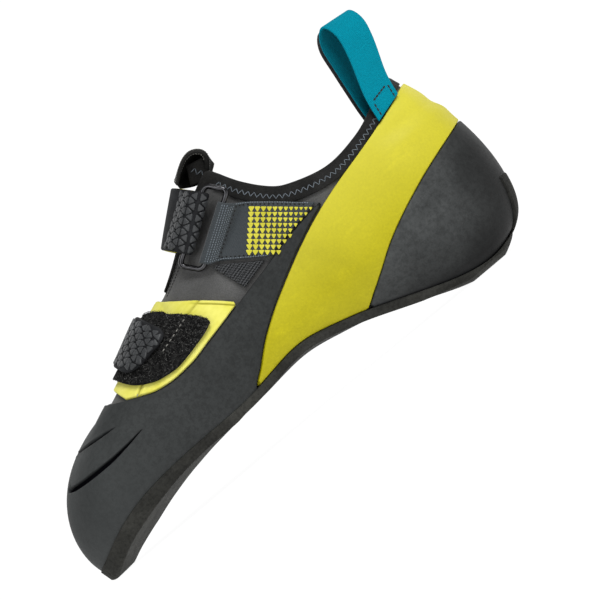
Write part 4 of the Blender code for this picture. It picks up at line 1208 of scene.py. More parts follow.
def shade_line(most, width, border):
    """Painted shade along a border of a single grid, as in a gap above the sole."""

    def shade(points, far, grids):
        return most * bell(distance_to(points, [border(grids[0][0])]), width)

    return {"groove_shade": shade}


# Soft creases of the tension band: a trough in front of the cup, a ridge and a trough behind the heel
BAND_TROUGH = [(162, 52), (166.5, 44), (169.2, 36), (170.3, 28)]
BAND_WAVES = [(67.0, 0.55), (73.5, -0.65)]


def band_creases(points, far, grids):
    """Change of the band's outer lift over its creases."""
    trough, _ = side_line(BAND_TROUGH, 0.0, 60)
    lift = -0.5 * bell(distance_to(points, [trough]), 4.5)
    behind = np.clip((points[:, 0] - 212) / 14, 0, 1)
    for height, swell in BAND_WAVES:
        lift += behind * swell * bell(points[:, 2] - height, 3.2)
    return lift


# Stations where the band, the cup and the strip start on each side, and the height where the strip thins out
BAND_START = BAND_TIP + 0.8
CUP_START = CUP_TIP + 2
STRIP_START = 234.2
STRIP_TAPER = 14


def add_heel_rubber():
    """Tension band from the arch round the heel, the cup under it and the sole's strip up the back."""
    band_low = edge_curve(BAND_LOW)
    phi = round_heel(turns_between(BAND_START, HEEL_END, 150))
    rear = np.abs(wrap(phi)) > turn_of(CUP_TIP) + 0.001
    low = np.where(rear, crossing(phi, band_low), 0)
    patch = between(phi, low, crossing(phi, edge_curve(BAND_TOP)), crowded(40))

    def band_borders(grids):
        grid = grids[0][0]
        return all_borders([(grid[:, 1:], None)]) + [grid[rear, 0]]

    # Painted shade along the band's lower edge where it meets the sole.
    add_skin(
        "tension_band_rubber", "band_yellow", "tension_band", [patch], band_borders,
        SEAT, SEAT + BAND, 0.45, band_creases, shade_line(0.8, 0.5, lambda grid: grid[~rear, 0]),
    )

    phi = round_heel(turns_between(CUP_START, HEEL_END, 110))
    patch = between(phi, 0 * phi, crossing(phi, band_low, -0.5 * FIT), crowded(36))
    # Painted shade along the cup's lower edge above the sole.
    add_skin(
        "heel_cup_rubber", "cup_grey", "heel_cup", [patch], free_borders,
        SEAT, SEAT + RAND, 0.45, marks=shade_line(0.9, 1.0, lambda grid: grid[:, 0]),
    )

    phi = round_heel(turns_between(STRIP_START, HEEL_END, 24))
    level = steady(np.array([200.0, 260.0]), np.array([STRIP_TOP, STRIP_TOP]))
    patch = between(phi, np.full(phi.shape, -0.03), crossing(phi, level), crowded(30))
    base = SEAT + RAND + FIT

    def taper(points, far, grids):
        return -0.8 * STRIP * np.clip((points[:, 2] - STRIP_TAPER) / (STRIP_TOP - STRIP_TAPER), 0, 1)

    add_skin(
        "heel_strip_rubber", "sole_sanded", "heel_strip", [patch], free_borders,
        base - FIT, base + STRIP, 0.8, taper,
    )


# Side-view line of the seam along the panel's inner side, under the loop patch
PANEL_SEAM = [
    (60.5, 53.6), (64.4, 55.9), (70.3, 59.0), (79.5, 62.2), (89.5, 64.9), (102, 68.7), (110.5, 70.6),
]

# Stations between which the panel and the patch lie, and up to which they reach the ridge
PANEL_SPAN = (39.5, 120)
PANEL_RIDGE = 90.5
PATCH_SPAN = (44, 106.5)
PATCH_RIDGE = 81
HEM = 1.7


def add_panel():
    """Suede panel over the forefoot with a sunk seam along its inner side and a hem at its rear edge."""
    turn = turns_between(*PANEL_SPAN, 150)
    patches = []
    for side in (-1, 1):
        phi = side * turn
        high = np.where(turn < turn_of(PANEL_RIDGE), 1, crossing(phi, edge_curve(PANEL_REAR)))
        low = np.maximum(crossing(phi, edge_curve(RAND_TOP), FIT), crossing(phi, edge_curve(PANEL_FRONT)))
        patch = between(phi, low, high, crowded(60))
        patches.append(patch if side > 0 else (patch[0][::-1], patch[1][::-1]))
    rear = turn > turn_of(PANEL_RIDGE)
    top = SEAT + PANEL + 0.4
    line, out = side_line(PANEL_SEAM, top, 200)
    seam = line - out * top

    def rear_edges(grids):
        return [grids[0][0][rear[::-1], -1], grids[1][0][rear, -1]]

    def edges(grids):
        inner, outer = grids[0][0], grids[1][0]
        return [inner[:, 0], outer[:, 0], inner[-1], outer[0]] + rear_edges(grids)

    sunk = {}

    def relief(points, far, grids):
        hem = distance_to(points, rear_edges(grids))
        below = np.clip((points[:, 0] - 106) / 4, 0, 1)
        away = distance_to(points, [seam])
        sunk["share"] = np.maximum(bell(away, 0.4), bell(hem - HEM, 0.35) * below)
        return 0.2 * bell(away - 1.5, 0.8) - 0.6 * sunk["share"]

    add_skin(
        "forefoot_panel_suede", "panel_yellow", "forefoot_panel", patches, edges,
        SEAT + 0.45, top, 0.6, relief, {"seam": lambda points, far, grids: 0.8 * sunk["share"]},
    )


PATCH_ROWS = 44
HAIR_COUNT = 9000
HAIR_LENGTH = 1.2
HAIR_RADIUS = 0.055
HAIR_STEPS = np.array([0.0, 0.35, 0.7, 1.0])
HAIR_SIDES = 3


def add_pile():
    """Loop patch on the panel's inner side, the tangled fibres that stand on it and the seam through it."""
    turn = turns_between(*PATCH_SPAN, 90)[::-1]
    phi = -turn
    high = np.where(turn < turn_of(PATCH_RIDGE), 1, crossing(phi, edge_curve(PATCH_REAR)))
    patch = between(phi, crossing(phi, edge_curve(PATCH_LOW)), high, crowded(PATCH_ROWS))
    base = SEAT + PANEL + 1.5
    rng = np.random.default_rng(7)

    def relief(points, far, grids):
        return rng.normal(0, 0.09, len(points)) * np.clip(far, 0, 1)

    def tone(points, far, grids):
        return np.clip(rng.normal(0.02, 0.05, len(points)), 0, 1)

    def edges(grids):
        grid = grids[0][0]
        return [grid[:, 0], grid[0], grid[-1], grid[turn > turn_of(PATCH_RIDGE), -1]]

    add_skin(
        "loop_patch_pile", "pile_black", "loop_patch", [patch], edges,
        base, base + PATCH - 0.35, 1.0, relief, {"tone": tone},
    )

    u = rng.uniform(0.0, 1.0, HAIR_COUNT) * (len(turn) - 1.001)
    v = np.interp(rng.uniform(0.0, 1.0, HAIR_COUNT), crowded(PATCH_ROWS), np.arange(PATCH_ROWS)) * 0.9999
    root = sample(upper_at(*patch), u, v)
    out = sample(normal_at(*patch), u, v)
    heading = square_to(out, rng.normal(0, 1, (HAIR_COUNT, 3)))
    reach = heading * (HAIR_LENGTH * rng.uniform(0.45, 1.1, HAIR_COUNT))[:, None]
    rise = rng.uniform(0.25, 0.6, HAIR_COUNT)
    side = np.cross(out, heading)
    arch = np.sin(math.pi * HAIR_STEPS * 0.85)
    centre = root[:, None] + reach[:, None] * (HAIR_STEPS - 0.5)[:, None]
    centre += out[:, None] * (base + PATCH - 0.5 + rise[:, None] * arch)[..., None]
    angle = np.arange(HAIR_SIDES) * 2 * math.pi / HAIR_SIDES
    swing = side[:, None] * np.cos(angle)[:, None] + out[:, None] * np.sin(angle)[:, None]
    rings = centre[:, :, None] + swing[:, None] * HAIR_RADIUS
    # Most fibres stay black; a few are painted light as glints.
    tones = np.clip(rng.gamma(0.4, 0.34, HAIR_COUNT), 0, 1)
    tones = np.repeat(tones, len(HAIR_STEPS) * HAIR_SIDES)
    add_piece("loop_patch_fibres", "pile_black", tube_faces(rings), marks={"tone": tones})
    line, out = side_line(PANEL_SEAM, base + PATCH - 0.05, 300)
    seams = []
    for first, last in ((63.4, 66), (84, 101)):
        on_patch = (line[:, 0] > first) & (line[:, 0] < last)
        seams.append(dashes(line[on_patch], out[on_patch], 2.6, 0.52))
    sew("loop_patch_seam", "thread_pale", seams, 0.24)


def sample(grid, u, v):
    """Values of a grid at fractional rows and columns."""
    u = np.clip(u, 0, grid.shape[0] - 1.0001)
    v = np.clip(v, 0, grid.shape[1] - 1.0001)
    i = u.astype(int)
    j = v.astype(int)
    a = (u - i)[:, None]
    b = (v - j)[:, None]
    low = grid[i, j] * (1 - b) + grid[i, j + 1] * b
    high = grid[i + 1, j] * (1 - b) + grid[i + 1, j + 1] * b
    return low * (1 - a) + high * a


# Sole


def add_outsole():
    """Sole with a dished seat, a ground side wall and a step where the thick front half ends."""
    thickness = steady(SOLE["s"], SOLE["thickness"])
    inset = steady(SOLE["s"], SOLE["inset"])
    share = np.linspace(0, 1, 17)[:, None]
    rings = []
    for angle in math.pi * (0.12 * crowded(190) + 0.88 * np.linspace(0, 1, 190)):
        top, out = sole_rows(angle)
        inner, outer = top[0], top[-1]
        pull = out * inset(inner[0])
        thick = np.array([0, 0, thickness(inner[0])])
        ground = np.array([inner - pull[0], outer - pull[1]]) - thick
        base = ground[0] + (ground[1] - ground[0]) * share
        base[:, 2] = stand(base[:, 2])
        worn = np.interp(inner[0], HEEL_WEAR["s"], HEEL_WEAR["rise"])
        base[:, 2] += worn * np.abs(2 * share[:, 0] - 1) ** 5
        walls = []
        for k, rim in ((0, inner), (1, outer)):
            foot = base[0 if k == 0 else -1]
            side = rim - pull[k] * SIDE_RAKE
            side[2] = foot[2] + SOLE_BEVEL
            steps = [rim - out[k] * 0.4 + (0, 0, 0.42), rim + (0, 0, 0.1)]
            for part in (0.2, 0.4, 0.6, 0.8):
                steps.append(rim + (side - rim) * part)
            turned = foot - side
            for part in (0.0, 0.3, 0.7):
                steps.append(side + turned * (part, part, 1 - (1 - part) ** 2))
            walls.append(np.array(steps))
        rings.append(np.concatenate([top[1:-1], walls[1], base[::-1], walls[0][::-1]]))
    shell = ring_shell(np.array(rings), False)
    add_piece("outsole_rubber", "sole_sanded", shell, "outsole", repair=True)


def add_insole():
    """Cloth-covered board inside."""
    rings = []
    for angle in turns_between(17, 228, 90):
        line = sole_rows(angle)[0][1:-1]
        base = read_run(np.linspace(0, 1, 13), np.linspace(0, 1, len(line)), line) + (0, 0, FIT)
        crown = base[::-1] + (0, 0, INSOLE)
        crown[[0, -1], 2] -= 0.9
        rings.append(np.concatenate([base, crown]))
    shell = ring_shell(np.array(rings), False)
    add_piece("insole_board", "insole_grey", shell, "insole", repair=True)


# Straps, rings, tabs and webbing


def fine_ends(count, rim=0.012):
    """Shares from 0 to 1, even in the middle and close together at both ends."""
    edge = rim * np.array([0.0, 0.06, 0.2, 0.45])
    return np.concatenate([edge, np.linspace(rim, 1 - rim, count), 1 - edge[::-1]])


def add_sheet(name, finish, node, grid, thickness, radius, face, relief=None, least=0.3, shaded_inside=False):
    """Flat flexible piece about a grid of points: first index along it, second across it.

    Face is a direction that the outer side has at the last row. A piece with a shaded inside carries a mark
    on its inner side, for painted shade there. Returns the grid, its outward normals and the lift of its
    outer side, for what lies on it.
    """
    normals = grid_normals(grid)
    middle = grid.shape[1] // 2
    if normals[-4, middle] @ np.asarray(face) < 0:
        normals = -normals
    far = distance_to(grid, all_borders([(grid, normals)]))
    half = thickness / 2 * np.maximum(rounded(far, radius), least)
    run = lengths(grid[:, middle])
    across = np.stack([lengths(row) for row in grid])
    across -= across.mean(axis=1, keepdims=True)
    lift = half if relief is None else half + relief(run[:, None], across, far)
    sheet = weld([(grid, normals)])
    uv = np.stack(np.broadcast_arrays(run[:, None], across + 100), -1).reshape(-1, 2)[sheet[3]]
    # The inner side is marked for painted shade.
    marks = {"inside": np.repeat([0.0, 1.0], len(uv))} if shaded_inside else None
    add_piece(name, finish, thicken(sheet, -half, lift), node, np.concatenate([uv, uv]), marks)
    return grid, normals, lift


def on_sheet(sheet, run_at, share):
    """Points and normals on a sheet's outer side at distances along it and shares across it."""
    grid, normals, lift = sheet
    run = lengths(grid[:, grid.shape[1] // 2])
    width = lengths(grid[grid.shape[0] // 2])
    run_at, share = np.broadcast_arrays(np.asarray(run_at, float), np.asarray(share, float))
    u = np.interp(run_at, run, np.arange(len(run)))
    v = np.interp(share * width[-1], width, np.arange(len(width)))
    out = unit(sample(normals, u, v))
    return sample(grid, u, v) + out * sample(lift[..., None], u, v), out


def strap_grid(arch, bar, back, front, low, width, tip, slant):
    """Centre surface of a strap folded round its bar, and the distance along it where the fold ends.

    Low is the lift of its under layer, tip the length of its rounded end and slant how far one side of
    that end lies ahead of the middle.
    """
    grid = []
    parts = crowded(27) * 2 - 1
    for part in parts:
        path = strap_path(arch, part * width / 2, bar, back, front + slant * part, low, low + STRAP + FIT)
        path = np.array([arch.place(part * width / 2, *point) for point in path])
        grid.append(read_fair(path, fine_ends(130)))
        if abs(part) < 0.04:
            fold = lengths(path)[17]
    grid = np.array(grid)
    even = np.polynomial.polynomial.polyfit(parts, grid.reshape(len(parts), -1), 3)
    grid = np.polynomial.polynomial.polyval(parts, even).T.reshape(grid.shape).swapaxes(0, 1)
    run = lengths(grid[:, 13])
    left = np.clip((tip - (run[-1] - run)) / tip, 0, 0.985)
    narrow = (1 - left**3) ** (1 / 3)
    middle = grid.mean(axis=1, keepdims=True)
    return middle + (grid - middle) * narrow[:, None, None], fold


RELIEF_SIZE = 4.6
RELIEF_PITCH = 2.35
RELIEF_ROW = 3.7
RELIEF_HEIGHT = 0.7


def relief_marks(name, sheet, first, last, side):
    """Interlocked rows of raised triangles over a stretch of a strap, pointing up and down it by turns."""
    starts, shares, turns = [], [], []
    width = lengths(sheet[0][sheet[0].shape[0] // 2])[-1]
    count = int(width * (1 - 2 * side) / RELIEF_PITCH)
    for row, run_at in enumerate(np.arange(first, last, RELIEF_ROW)):
        for k in range(count):
            turn = 1 if (row + k) % 2 else -1
            shares.append(0.5 + (k - (count - 1) / 2) * RELIEF_PITCH / width)
            starts.append(run_at - turn * RELIEF_SIZE / 8)
            turns.append(turn)
    centres, out = on_sheet(sheet, starts, shares)
    ahead, _ = on_sheet(sheet, np.array(starts) + 0.3, shares)
    heading = (ahead - centres) * np.array(turns)[:, None]
    sizes = np.full(len(centres), RELIEF_SIZE)
    add_piece(name, "relief_black", bumps(centres, out, heading, sizes, RELIEF_HEIGHT))


RING_CORNER = 2.6
RING_SIDES = 16


def ring_wire(name, node, arch, bar, shift, half_length, reach):
    """Wire ring with rounded corners: returns its lower bar and two directions of its plane."""
    centre = arch.at(0.0, bar, arch.bar_lift)[0]
    far = arch.at(0.0, bar + np.sign(bar) * reach, arch.tab_lift)[0]
    spread = np.linalg.norm(far - centre)
    down = (far - centre) / spread
    out = np.array([-down[1], down[0]]) * np.sign(bar)
    middle = (centre + far) / 2
    path = []
    for i, (u, v) in enumerate(((1, 1), (-1, 1), (-1, -1), (1, -1))):
        for step in range(13):
            angle = math.radians(90 * i + 7.5 * step)
            a = shift + u * (half_length - RING_CORNER) + RING_CORNER * math.cos(angle)
            b = v * (spread / 2 - RING_CORNER) + RING_CORNER * math.sin(angle)
            path.append(arch.place(a, *(middle + down * (b + arch.skew * a))))
    path = np.array(path)
    along = unit(np.roll(path, -1, axis=0) - np.roll(path, 1, axis=0))
    face = np.cross(arch.along, arch.place(0, *down) - arch.place(0, 0, 0))
    side = np.cross(along, face)
    angle = np.arange(RING_SIDES) * 2 * math.pi / RING_SIDES
    rings = path[:, None] + WIRE * (np.cos(angle)[:, None] * side[:, None] + np.sin(angle)[:, None] * face)
    add_piece(name, "ring_dark", ring_shell(rings, True), node, repair=True)
    return far, down, out


RIB_PITCH = 0.95
RIB_HEIGHT = 0.26
RIB_REACH = 4.8
RIB_COUNT = 6


def tab_grid(arch, bar_point, down, out, rows):
    """Centre surface of a doubled tab round a ring's lower bar, fine over its ribs, and its fold's end."""
    edge = np.array([0.0, 0.002, 0.006, 0.012])
    rise = np.concatenate([edge, np.linspace(0.03, 1, 44)])
    grid = []
    folds = []
    for shift, under, over in rows:
        centre = bar_point + down * arch.skew * shift
        turn = half_turn(centre, out, down, WIRE + 1.5 * FIT + TAB_LAYER / 2)
        path = np.concatenate([under, [arch.place(shift, *point) for point in turn], over])
        run = lengths(path)
        fold = run[len(under) + 7]
        start, end = fold - 3.0, fold + RIB_REACH + 0.5
        fine = np.linspace(start, end, 52)[1:-1]
        stops = np.concatenate([start * rise, fine, run[-1] - (run[-1] - end) * rise[::-1]])
        grid.append(read_fair(path, stops / run[-1]))
        folds.append(fold)
    return np.array(grid).swapaxes(0, 1), folds[len(folds) // 2]


def add_upper_closure():
    """Upper strap over the instep, its ring, the tab that holds it and the webbing under the tab."""
    arch = Arch(
        s=127.8, h=101.1, slope=math.radians(40), bulge=3.9, tilt=0.18, base=3.4, tab_lift=5.7, skew=0.125,
    )
    bar = -19.4
    low = arch.base + FIT + STRAP / 2
    grid, fold = strap_grid(arch, bar, back=40.0, front=36.0, low=low, width=27.8, tip=9.0, slant=0.0)
    strap = add_sheet(
        "upper_strap_band", "strap_black", "upper_strap", grid, STRAP, 0.8, (0, 0.6, 0.6),
    )
    relief_marks("upper_strap_relief", strap, fold - 5.0, fold + 11.0, 0.03)
    run = lengths(grid[:, 13])
    rows = (run > fold + 1.5) & (run < run[-1] - 9)
    lining = grid[rows] - strap[1][rows] * (STRAP / 2 - 0.1)
    middle = lining.mean(axis=1, keepdims=True)
    lining = middle + (lining - middle) * 1.012
    add_sheet("upper_strap_lining", "lining_yellow", None, lining, 0.5, 0.2, (0, 0.6, 0.6))

    bar_point, down, out = ring_wire(
        "upper_ring_wire", "upper_ring", arch, bar, shift=-1.2, half_length=18.2, reach=9.3,
    )
    corners = np.stack([TAB_CORNERS["s"], TAB_CORNERS["h"]], -1)
    rows = []
    for share in crowded(37):
        front = corners[0] + (corners[1] - corners[0]) * share
        rear = corners[3] + (corners[2] - corners[3]) * share
        line = front + (rear - front) * np.linspace(0.27, 1, 6)[:, None]
        phi, t = inner_side(line[:, 0], line[:, 1])
        points = upper_at(phi, t)
        normals = normal_at(phi, t)
        under = points + normals * (FIT + TAB_LAYER / 2)
        over = points + normals * (2 * FIT + TAB_LAYER * 1.5)
        shift = (np.array([front[0], 0, front[1]]) - arch.origin) @ arch.along
        rows.append((shift, under[::-1], over))
    grid, fold = tab_grid(arch, bar_point, down, out, rows)
    tab = add_sheet(
        "ring_tab_cloth", "tab_grey", "ring_tab", grid, TAB_LAYER, 0.5, (0, -1, 0),
        rib_lift(fold),
    )
    add_tab_sewing(tab, fold, lengths(grid[:, 18])[-1])
    add_print()

    edge = np.stack([ANCHOR_CORNERS["s"], ANCHOR_CORNERS["h"]], -1)
    u = crowded(24)[:, None, None]
    v = np.linspace(0.14, 1, 90)[None, :, None]
    flat = edge[0] + v * (edge[1] - edge[0] + u * (edge[2] - edge[1]))
    phi, t = inner_side(flat[..., 0], flat[..., 1])
    surface = upper_at(phi, t) + normal_at(phi, t) * (FIT + WEBBING / 2)
    ribbed = surface.swapaxes(0, 1)

    def cords(run, across, far):
        return 0.8 * np.abs(np.sin(math.pi * run / 1.55)) * np.clip(far / 0.5, 0, 1) - 0.5

    add_sheet(
        "anchor_webbing_band", "anchor_black", "anchor_webbing", ribbed, WEBBING, 0.6,
        (0, -1, 0), cords,
    )


def rib_lift(fold):
    """Relief of the ribs that cross a tab behind its fold."""

    def ribs(run, across, far):
        on = np.clip((run - fold + 1.5) / 0.4, 0, 1) * np.clip((fold + RIB_REACH - run) / 0.3, 0, 1)
        return RIB_HEIGHT * np.abs(np.sin(math.pi * (run - fold) / RIB_PITCH)) * on * np.clip(far / 0.6, 0, 1)

    return ribs


def add_tab_sewing(tab, fold, end):
    """Black stitches behind the ribs and along both sides of the ring tab, blue ones over ribs and rims."""
    behind = fold + RIB_REACH
    last = end - 1.5
    seams = [stitched(tab, (behind + 0.8, behind + 0.8), (0.04, 0.96), 60, 1.9, 0.6)]
    for share in (0.045, 0.955):
        seams.append(stitched(tab, (behind + 1.5, last), (share, share), 80, 1.9, 0.6))
    sew("ring_tab_seam", "thread_black", seams, 0.34)
    seams = []
    for i in range(RIB_COUNT):
        rib = fold - 1.4 + RIB_PITCH * (i + 0.5)
        seams.append(stitched(tab, (rib, rib), (0.02, 0.98), 60, 1.1, 0.85))
    for share in (0.015, 0.985):
        seams.append(stitched(tab, (behind, last), (share, share), 80, 1.1, 0.8))
    sew("ring_tab_ribs", "thread_blue", seams, 0.2)


# Print on the tab in side view: first mark, directions along a row and between rows, then the sizes of rows
# and marks. Each row starts a little earlier and ends sooner, and its marks shrink and close up along it.
PRINT_START = (153.8, 86.8)
PRINT_ALONG = (0.769, -0.639)
PRINT_DOWN = (-0.639, -0.769)
PRINT_ROWS = 9
ROW_STEP = 2.37
ROW_LENGTH = 26.0
ROW_LOSS = 1.76
ROW_SHIFT = -0.12
MARK_SIZE = 3.75
SIZE_LOSS = 1.75
MARK_STEP = 2.7
STEP_LOSS = 0.75
MARK_HEIGHT = 0.14
PRINT_LIFT = 2.74


def add_print():
    """Rows of small raised yellow marks over the rear of the ring tab, smaller towards its end."""
    places, sizes = [], []
    for row in range(PRINT_ROWS):
        reach = ROW_LENGTH - ROW_LOSS * row
        along = ROW_SHIFT * row
        while along < reach:
            part = along / ROW_LENGTH
            down = row * ROW_STEP
            places.append([PRINT_START[i] + PRINT_ALONG[i] * along + PRINT_DOWN[i] * down for i in (0, 1)])
            sizes.append(MARK_SIZE - SIZE_LOSS * part)
            along += MARK_STEP - STEP_LOSS * part
    centres, out = raised(np.array(places), PRINT_LIFT)
    heading = np.broadcast_to((PRINT_DOWN[0], 0.0, PRINT_DOWN[1]), centres.shape)
    shell = bumps(centres, out, heading, sizes, MARK_HEIGHT)
    add_piece("ring_tab_print", "print_yellow", shell)


def add_lower_closure():
    """Lower strap over the forefoot to its tip on the inner side, ring and tab on the outer side."""
    arch = Arch(
        s=76.5, h=72.2, slope=math.radians(27), bulge=0.0, tilt=0.0, base=2.7, tab_lift=6.2, skew=0.0,
    )
    bar = 24.0
    low = arch.base + STRAP / 2
    grid, fold = strap_grid(arch, bar, back=5.5, front=-23.0, low=low, width=24.0, tip=8.5, slant=-3.2)
    strap = add_sheet(
        "lower_strap_band", "strap_black", "lower_strap", grid, STRAP, 0.8, (0, -0.6, 0.6),
    )
    end = lengths(grid[:, 13])[-1]
    relief_marks("lower_strap_relief", strap, fold + 4, end - 1.6, 0.04)
    bar_point, down, out = ring_wire(
        "lower_ring_wire", "lower_ring", arch, bar, shift=0.0, half_length=16.0, reach=10.6,
    )
    rows = []
    for part in crowded(29):
        shift = -11.5 + 23.0 * part
        layers = []
        for lift in (arch.base + TAB_LAYER / 2, arch.base + FIT + TAB_LAYER * 1.5):
            run, line, _ = arch.offset_line(shift, lift)
            reach = read_run(np.linspace(bar + 18.5, bar + 24, 3), run, line)
            layers.append(np.array([arch.place(shift, *point) for point in reach]))
        rows.append((shift, layers[0][::-1], layers[1]))
    grid, fold = tab_grid(arch, bar_point, down, out, rows)
    tab = add_sheet(
        "lower_ring_tab_cloth", "tab_grey", "lower_ring_tab", grid, TAB_LAYER, 0.5, (0, 1, 0),
        rib_lift(fold),
    )
    hem = lengths(grid[:, 14])[-1] - 2.0
    seams = [stitched(tab, (hem, hem), (0.06, 0.94), 60, 2.0, 0.68)]
    sew("lower_ring_tab_seam", "thread_blue", seams, 0.24)


# Collar, tongue and pull loops


def binding_frame(phi):
    """Rim of the throat and collar with its directions out and up, and the edge strip's depth and puff."""
    rim = top_line(phi)
    ones = np.ones(phi.shape)
    out = normal_at(phi, ones * 0.985)
    along = square_to(out, np.gradient(rim, axis=0))
    up = np.cross(along, out)
    climb = upper_at(phi, ones) - upper_at(phi, ones * 0.98)
    up *= np.sign((up * climb).sum(-1, keepdims=True))
    station = station_of(np.abs(wrap(phi)))
    depth = np.interp(station, BINDING_DEPTH["s"], BINDING_DEPTH["depth"])[:, None]
    puff = np.interp(station, BINDING_DEPTH["s"], BINDING_DEPTH["puff"])[:, None]
    return rim, out, up, depth, puff


# Stations of the zig-zag seam along the collar, and rows of each side with stitches along the throat
COLLAR_SEAM = (157, 227)
THROAT_ROWS = 34


def add_binding():
    """Bound and padded edge of throat and collar, with its zig-zag seam and the stitches below it."""
    stretches = ((98.8, 144.0, 36), (148.0, 164.0, 16), (168.0, HEEL_END, 56))
    phi = round_heel(np.concatenate([turns_between(*stretch) for stretch in stretches]))
    rim, out, up, depth, puff = binding_frame(phi)

    def below_rim(drop, start, lift=0.0):
        """Points at a lift over the upper at a drop below the rim, with their normals."""
        place = settle(rim - up * drop, phi, np.full(phi.shape, start))
        normals = normal_at(*place)
        return upper_at(*place) + normals * lift, normals

    flap, flap_out = below_rim(depth, 0.95)
    half, half_out = below_rim(depth / 2, 0.97)
    clear = 1.5 * FIT
    over = 2.5 * FIT
    rings = [
        flap + flap_out * clear,
        flap + flap_out * (clear + 0.95),
        half + half_out * (clear + 0.85),
        rim + out * (0.7 + puff) + up * 0.3,
        rim + out * 0.8 + up * 2.2 * puff,
        rim - out * 2.5 + up * 2.3 * puff,
        rim - out * 3.7 + up * 0.2,
        rim - out * 3.0 - up * 1.8,
        rim - out * (WALL + clear) + up * over,
        rim + out * clear + up * over,
        half + half_out * clear,
    ]
    shell = ring_shell(np.array(rings).swapaxes(0, 1), False)
    piece = add_piece(
        "collar_binding_band", "binding_black", shell, "collar_binding", repair=True,
    )
    soft = piece.modifiers.new("Round", "SUBSURF")
    soft.levels = 2
    soft.render_levels = 2

    line, seam_out = below_rim(depth * 0.45, 0.96, clear + 1.02)
    seams = []
    for side in (-1, 1):
        turn = side * wrap(phi)
        collar = (turn > turn_of(COLLAR_SEAM[0])) & (turn < turn_of(COLLAR_SEAM[1]))
        seams.append(zigzag(line[collar], seam_out[collar], 2.8, 2.1))
    sew("collar_seam", "thread_blue", seams, 0.14)
    seams = []
    for drop in (depth + 0.7, depth + 3.4):
        line, seam_out = below_rim(drop, 0.96, 0.12)
        for side in (slice(THROAT_ROWS), slice(-THROAT_ROWS, None)):
            seams.append(dashes(line[side], seam_out[side], 1.5, 0.86))
    sew("throat_seam", "thread_black", seams, 0.2)


# Lower and upper corners of the tongue's inner side under the flap, as station, y and height
TONGUE_SIDE = {
    "front": [(139.6, -7.5, 112.0), (143.9, -8.5, 120.2)],
    "rear": [(149.2, -9.5, 108.4), (151.4, -11.0, 118.4)],
}


# Pitch of the stitches round the flap, and how far its hem lies from its end
HEM_STITCH = (1.2, 0.72)
FLAP_HEM = 1.3


def tongue_rows():
    """Rows of points across the tongue, under the throat and then along the flap."""
    rows = []
    for angle in turns_between(84, 142, 8):
        sides = []
        for side, steps in ((-1, (0.86, 0.93, 1.0)), (1, (1.0, 0.93, 0.86))):
            phi = np.full(3, side * angle)
            t = np.array(steps)
            sides.append(upper_at(phi, t) - normal_at(phi, t) * TONGUE_DROP)
        inner, outer = sides
        gap = outer[0] - inner[-1]
        wide = np.linalg.norm(gap)
        rise = np.array([0, 0, min(4.2, 0.25 * wide) if wide >= 4 else 0.0])
        middle = [inner[-1] + gap * f + rise * 4 * f * (1 - f) for f in (0.25, 0.5, 0.75)]
        rows.append(np.concatenate([inner, middle, outer]))
    share = np.linspace(-1, 1, 9)
    for s, h, inner, outer, droop in zip(*FLAP.values()):
        y = share * np.where(share < 0, inner, outer)
        height = h - FLAP_CROWN * share**2 - droop * ((share + 1) / 2) ** 1.5
        rows.append(np.stack([np.full(9, s), y, height], -1))
    return rows


def add_tongue():
    """Sheet under the throat that bulges up between its edges and ends in a curled flap."""
    across = np.stack([read_fair(row, crowded(41)) for row in tongue_rows()])
    fine = np.stack([read_fair(across[:, j], fine_ends(110)) for j in range(41)], 1)
    thick = np.interp(np.linspace(0, 1, len(fine)), (0, 0.6, 1), (TONGUE, TONGUE, FLAP_END))[:, None]
    tongue = add_sheet(
        "tongue_cloth", "tongue_black", "tongue", fine, thick, 0.8, (-0.6, 0, 0.8),
    )
    end = lengths(fine[:, 20])[-1]
    hem = end - FLAP_HEM
    seams = [stitched(tongue, (hem, hem), (0.04, 0.96), 70, *HEM_STITCH)]
    for share in (0.045, 0.955):
        seams.append(stitched(tongue, (end - 36, hem), (share, share), 80, *HEM_STITCH))
    line, out = on_sheet(tongue, np.linspace(end - 24, hem, 80), np.full(80, 0.07))
    under = line - out * np.linspace(TONGUE, FLAP_END, 80)[:, None]
    seams.append(dashes(under, -out, *HEM_STITCH))
    sew("tongue_hem", "thread_pale", seams, 0.2)

    front, rear = (np.array(TONGUE_SIDE[part]) for part in ("front", "rear"))
    u = crowded(15)[:, None, None]
    v = crowded(15)[None, :, None]
    low = front[0] + (rear[0] - front[0]) * u
    high = front[1] + (rear[1] - front[1]) * u
    grid = low + (high - low) * v
    wing = add_sheet("tongue_side", "tongue_black", None, grid, 1.6, 0.7, (0, -1, 0))
    line, out = on_sheet(wing, np.linspace(2.2, 9.5, 30), np.linspace(0.72, 0.12, 30))
    sew("tongue_seam", "thread_blue", [zigzag(line, out, 3.0, 2.8)], 0.17)


# Box seam at a pull loop's foot: shares across the loop, distances along it, pitch and part of a stitch
BOX_SIDES = (0.14, 0.84)
BOX_RUN = (0.2, 7.6)
BOX_STITCH = (2.0, 1.1)


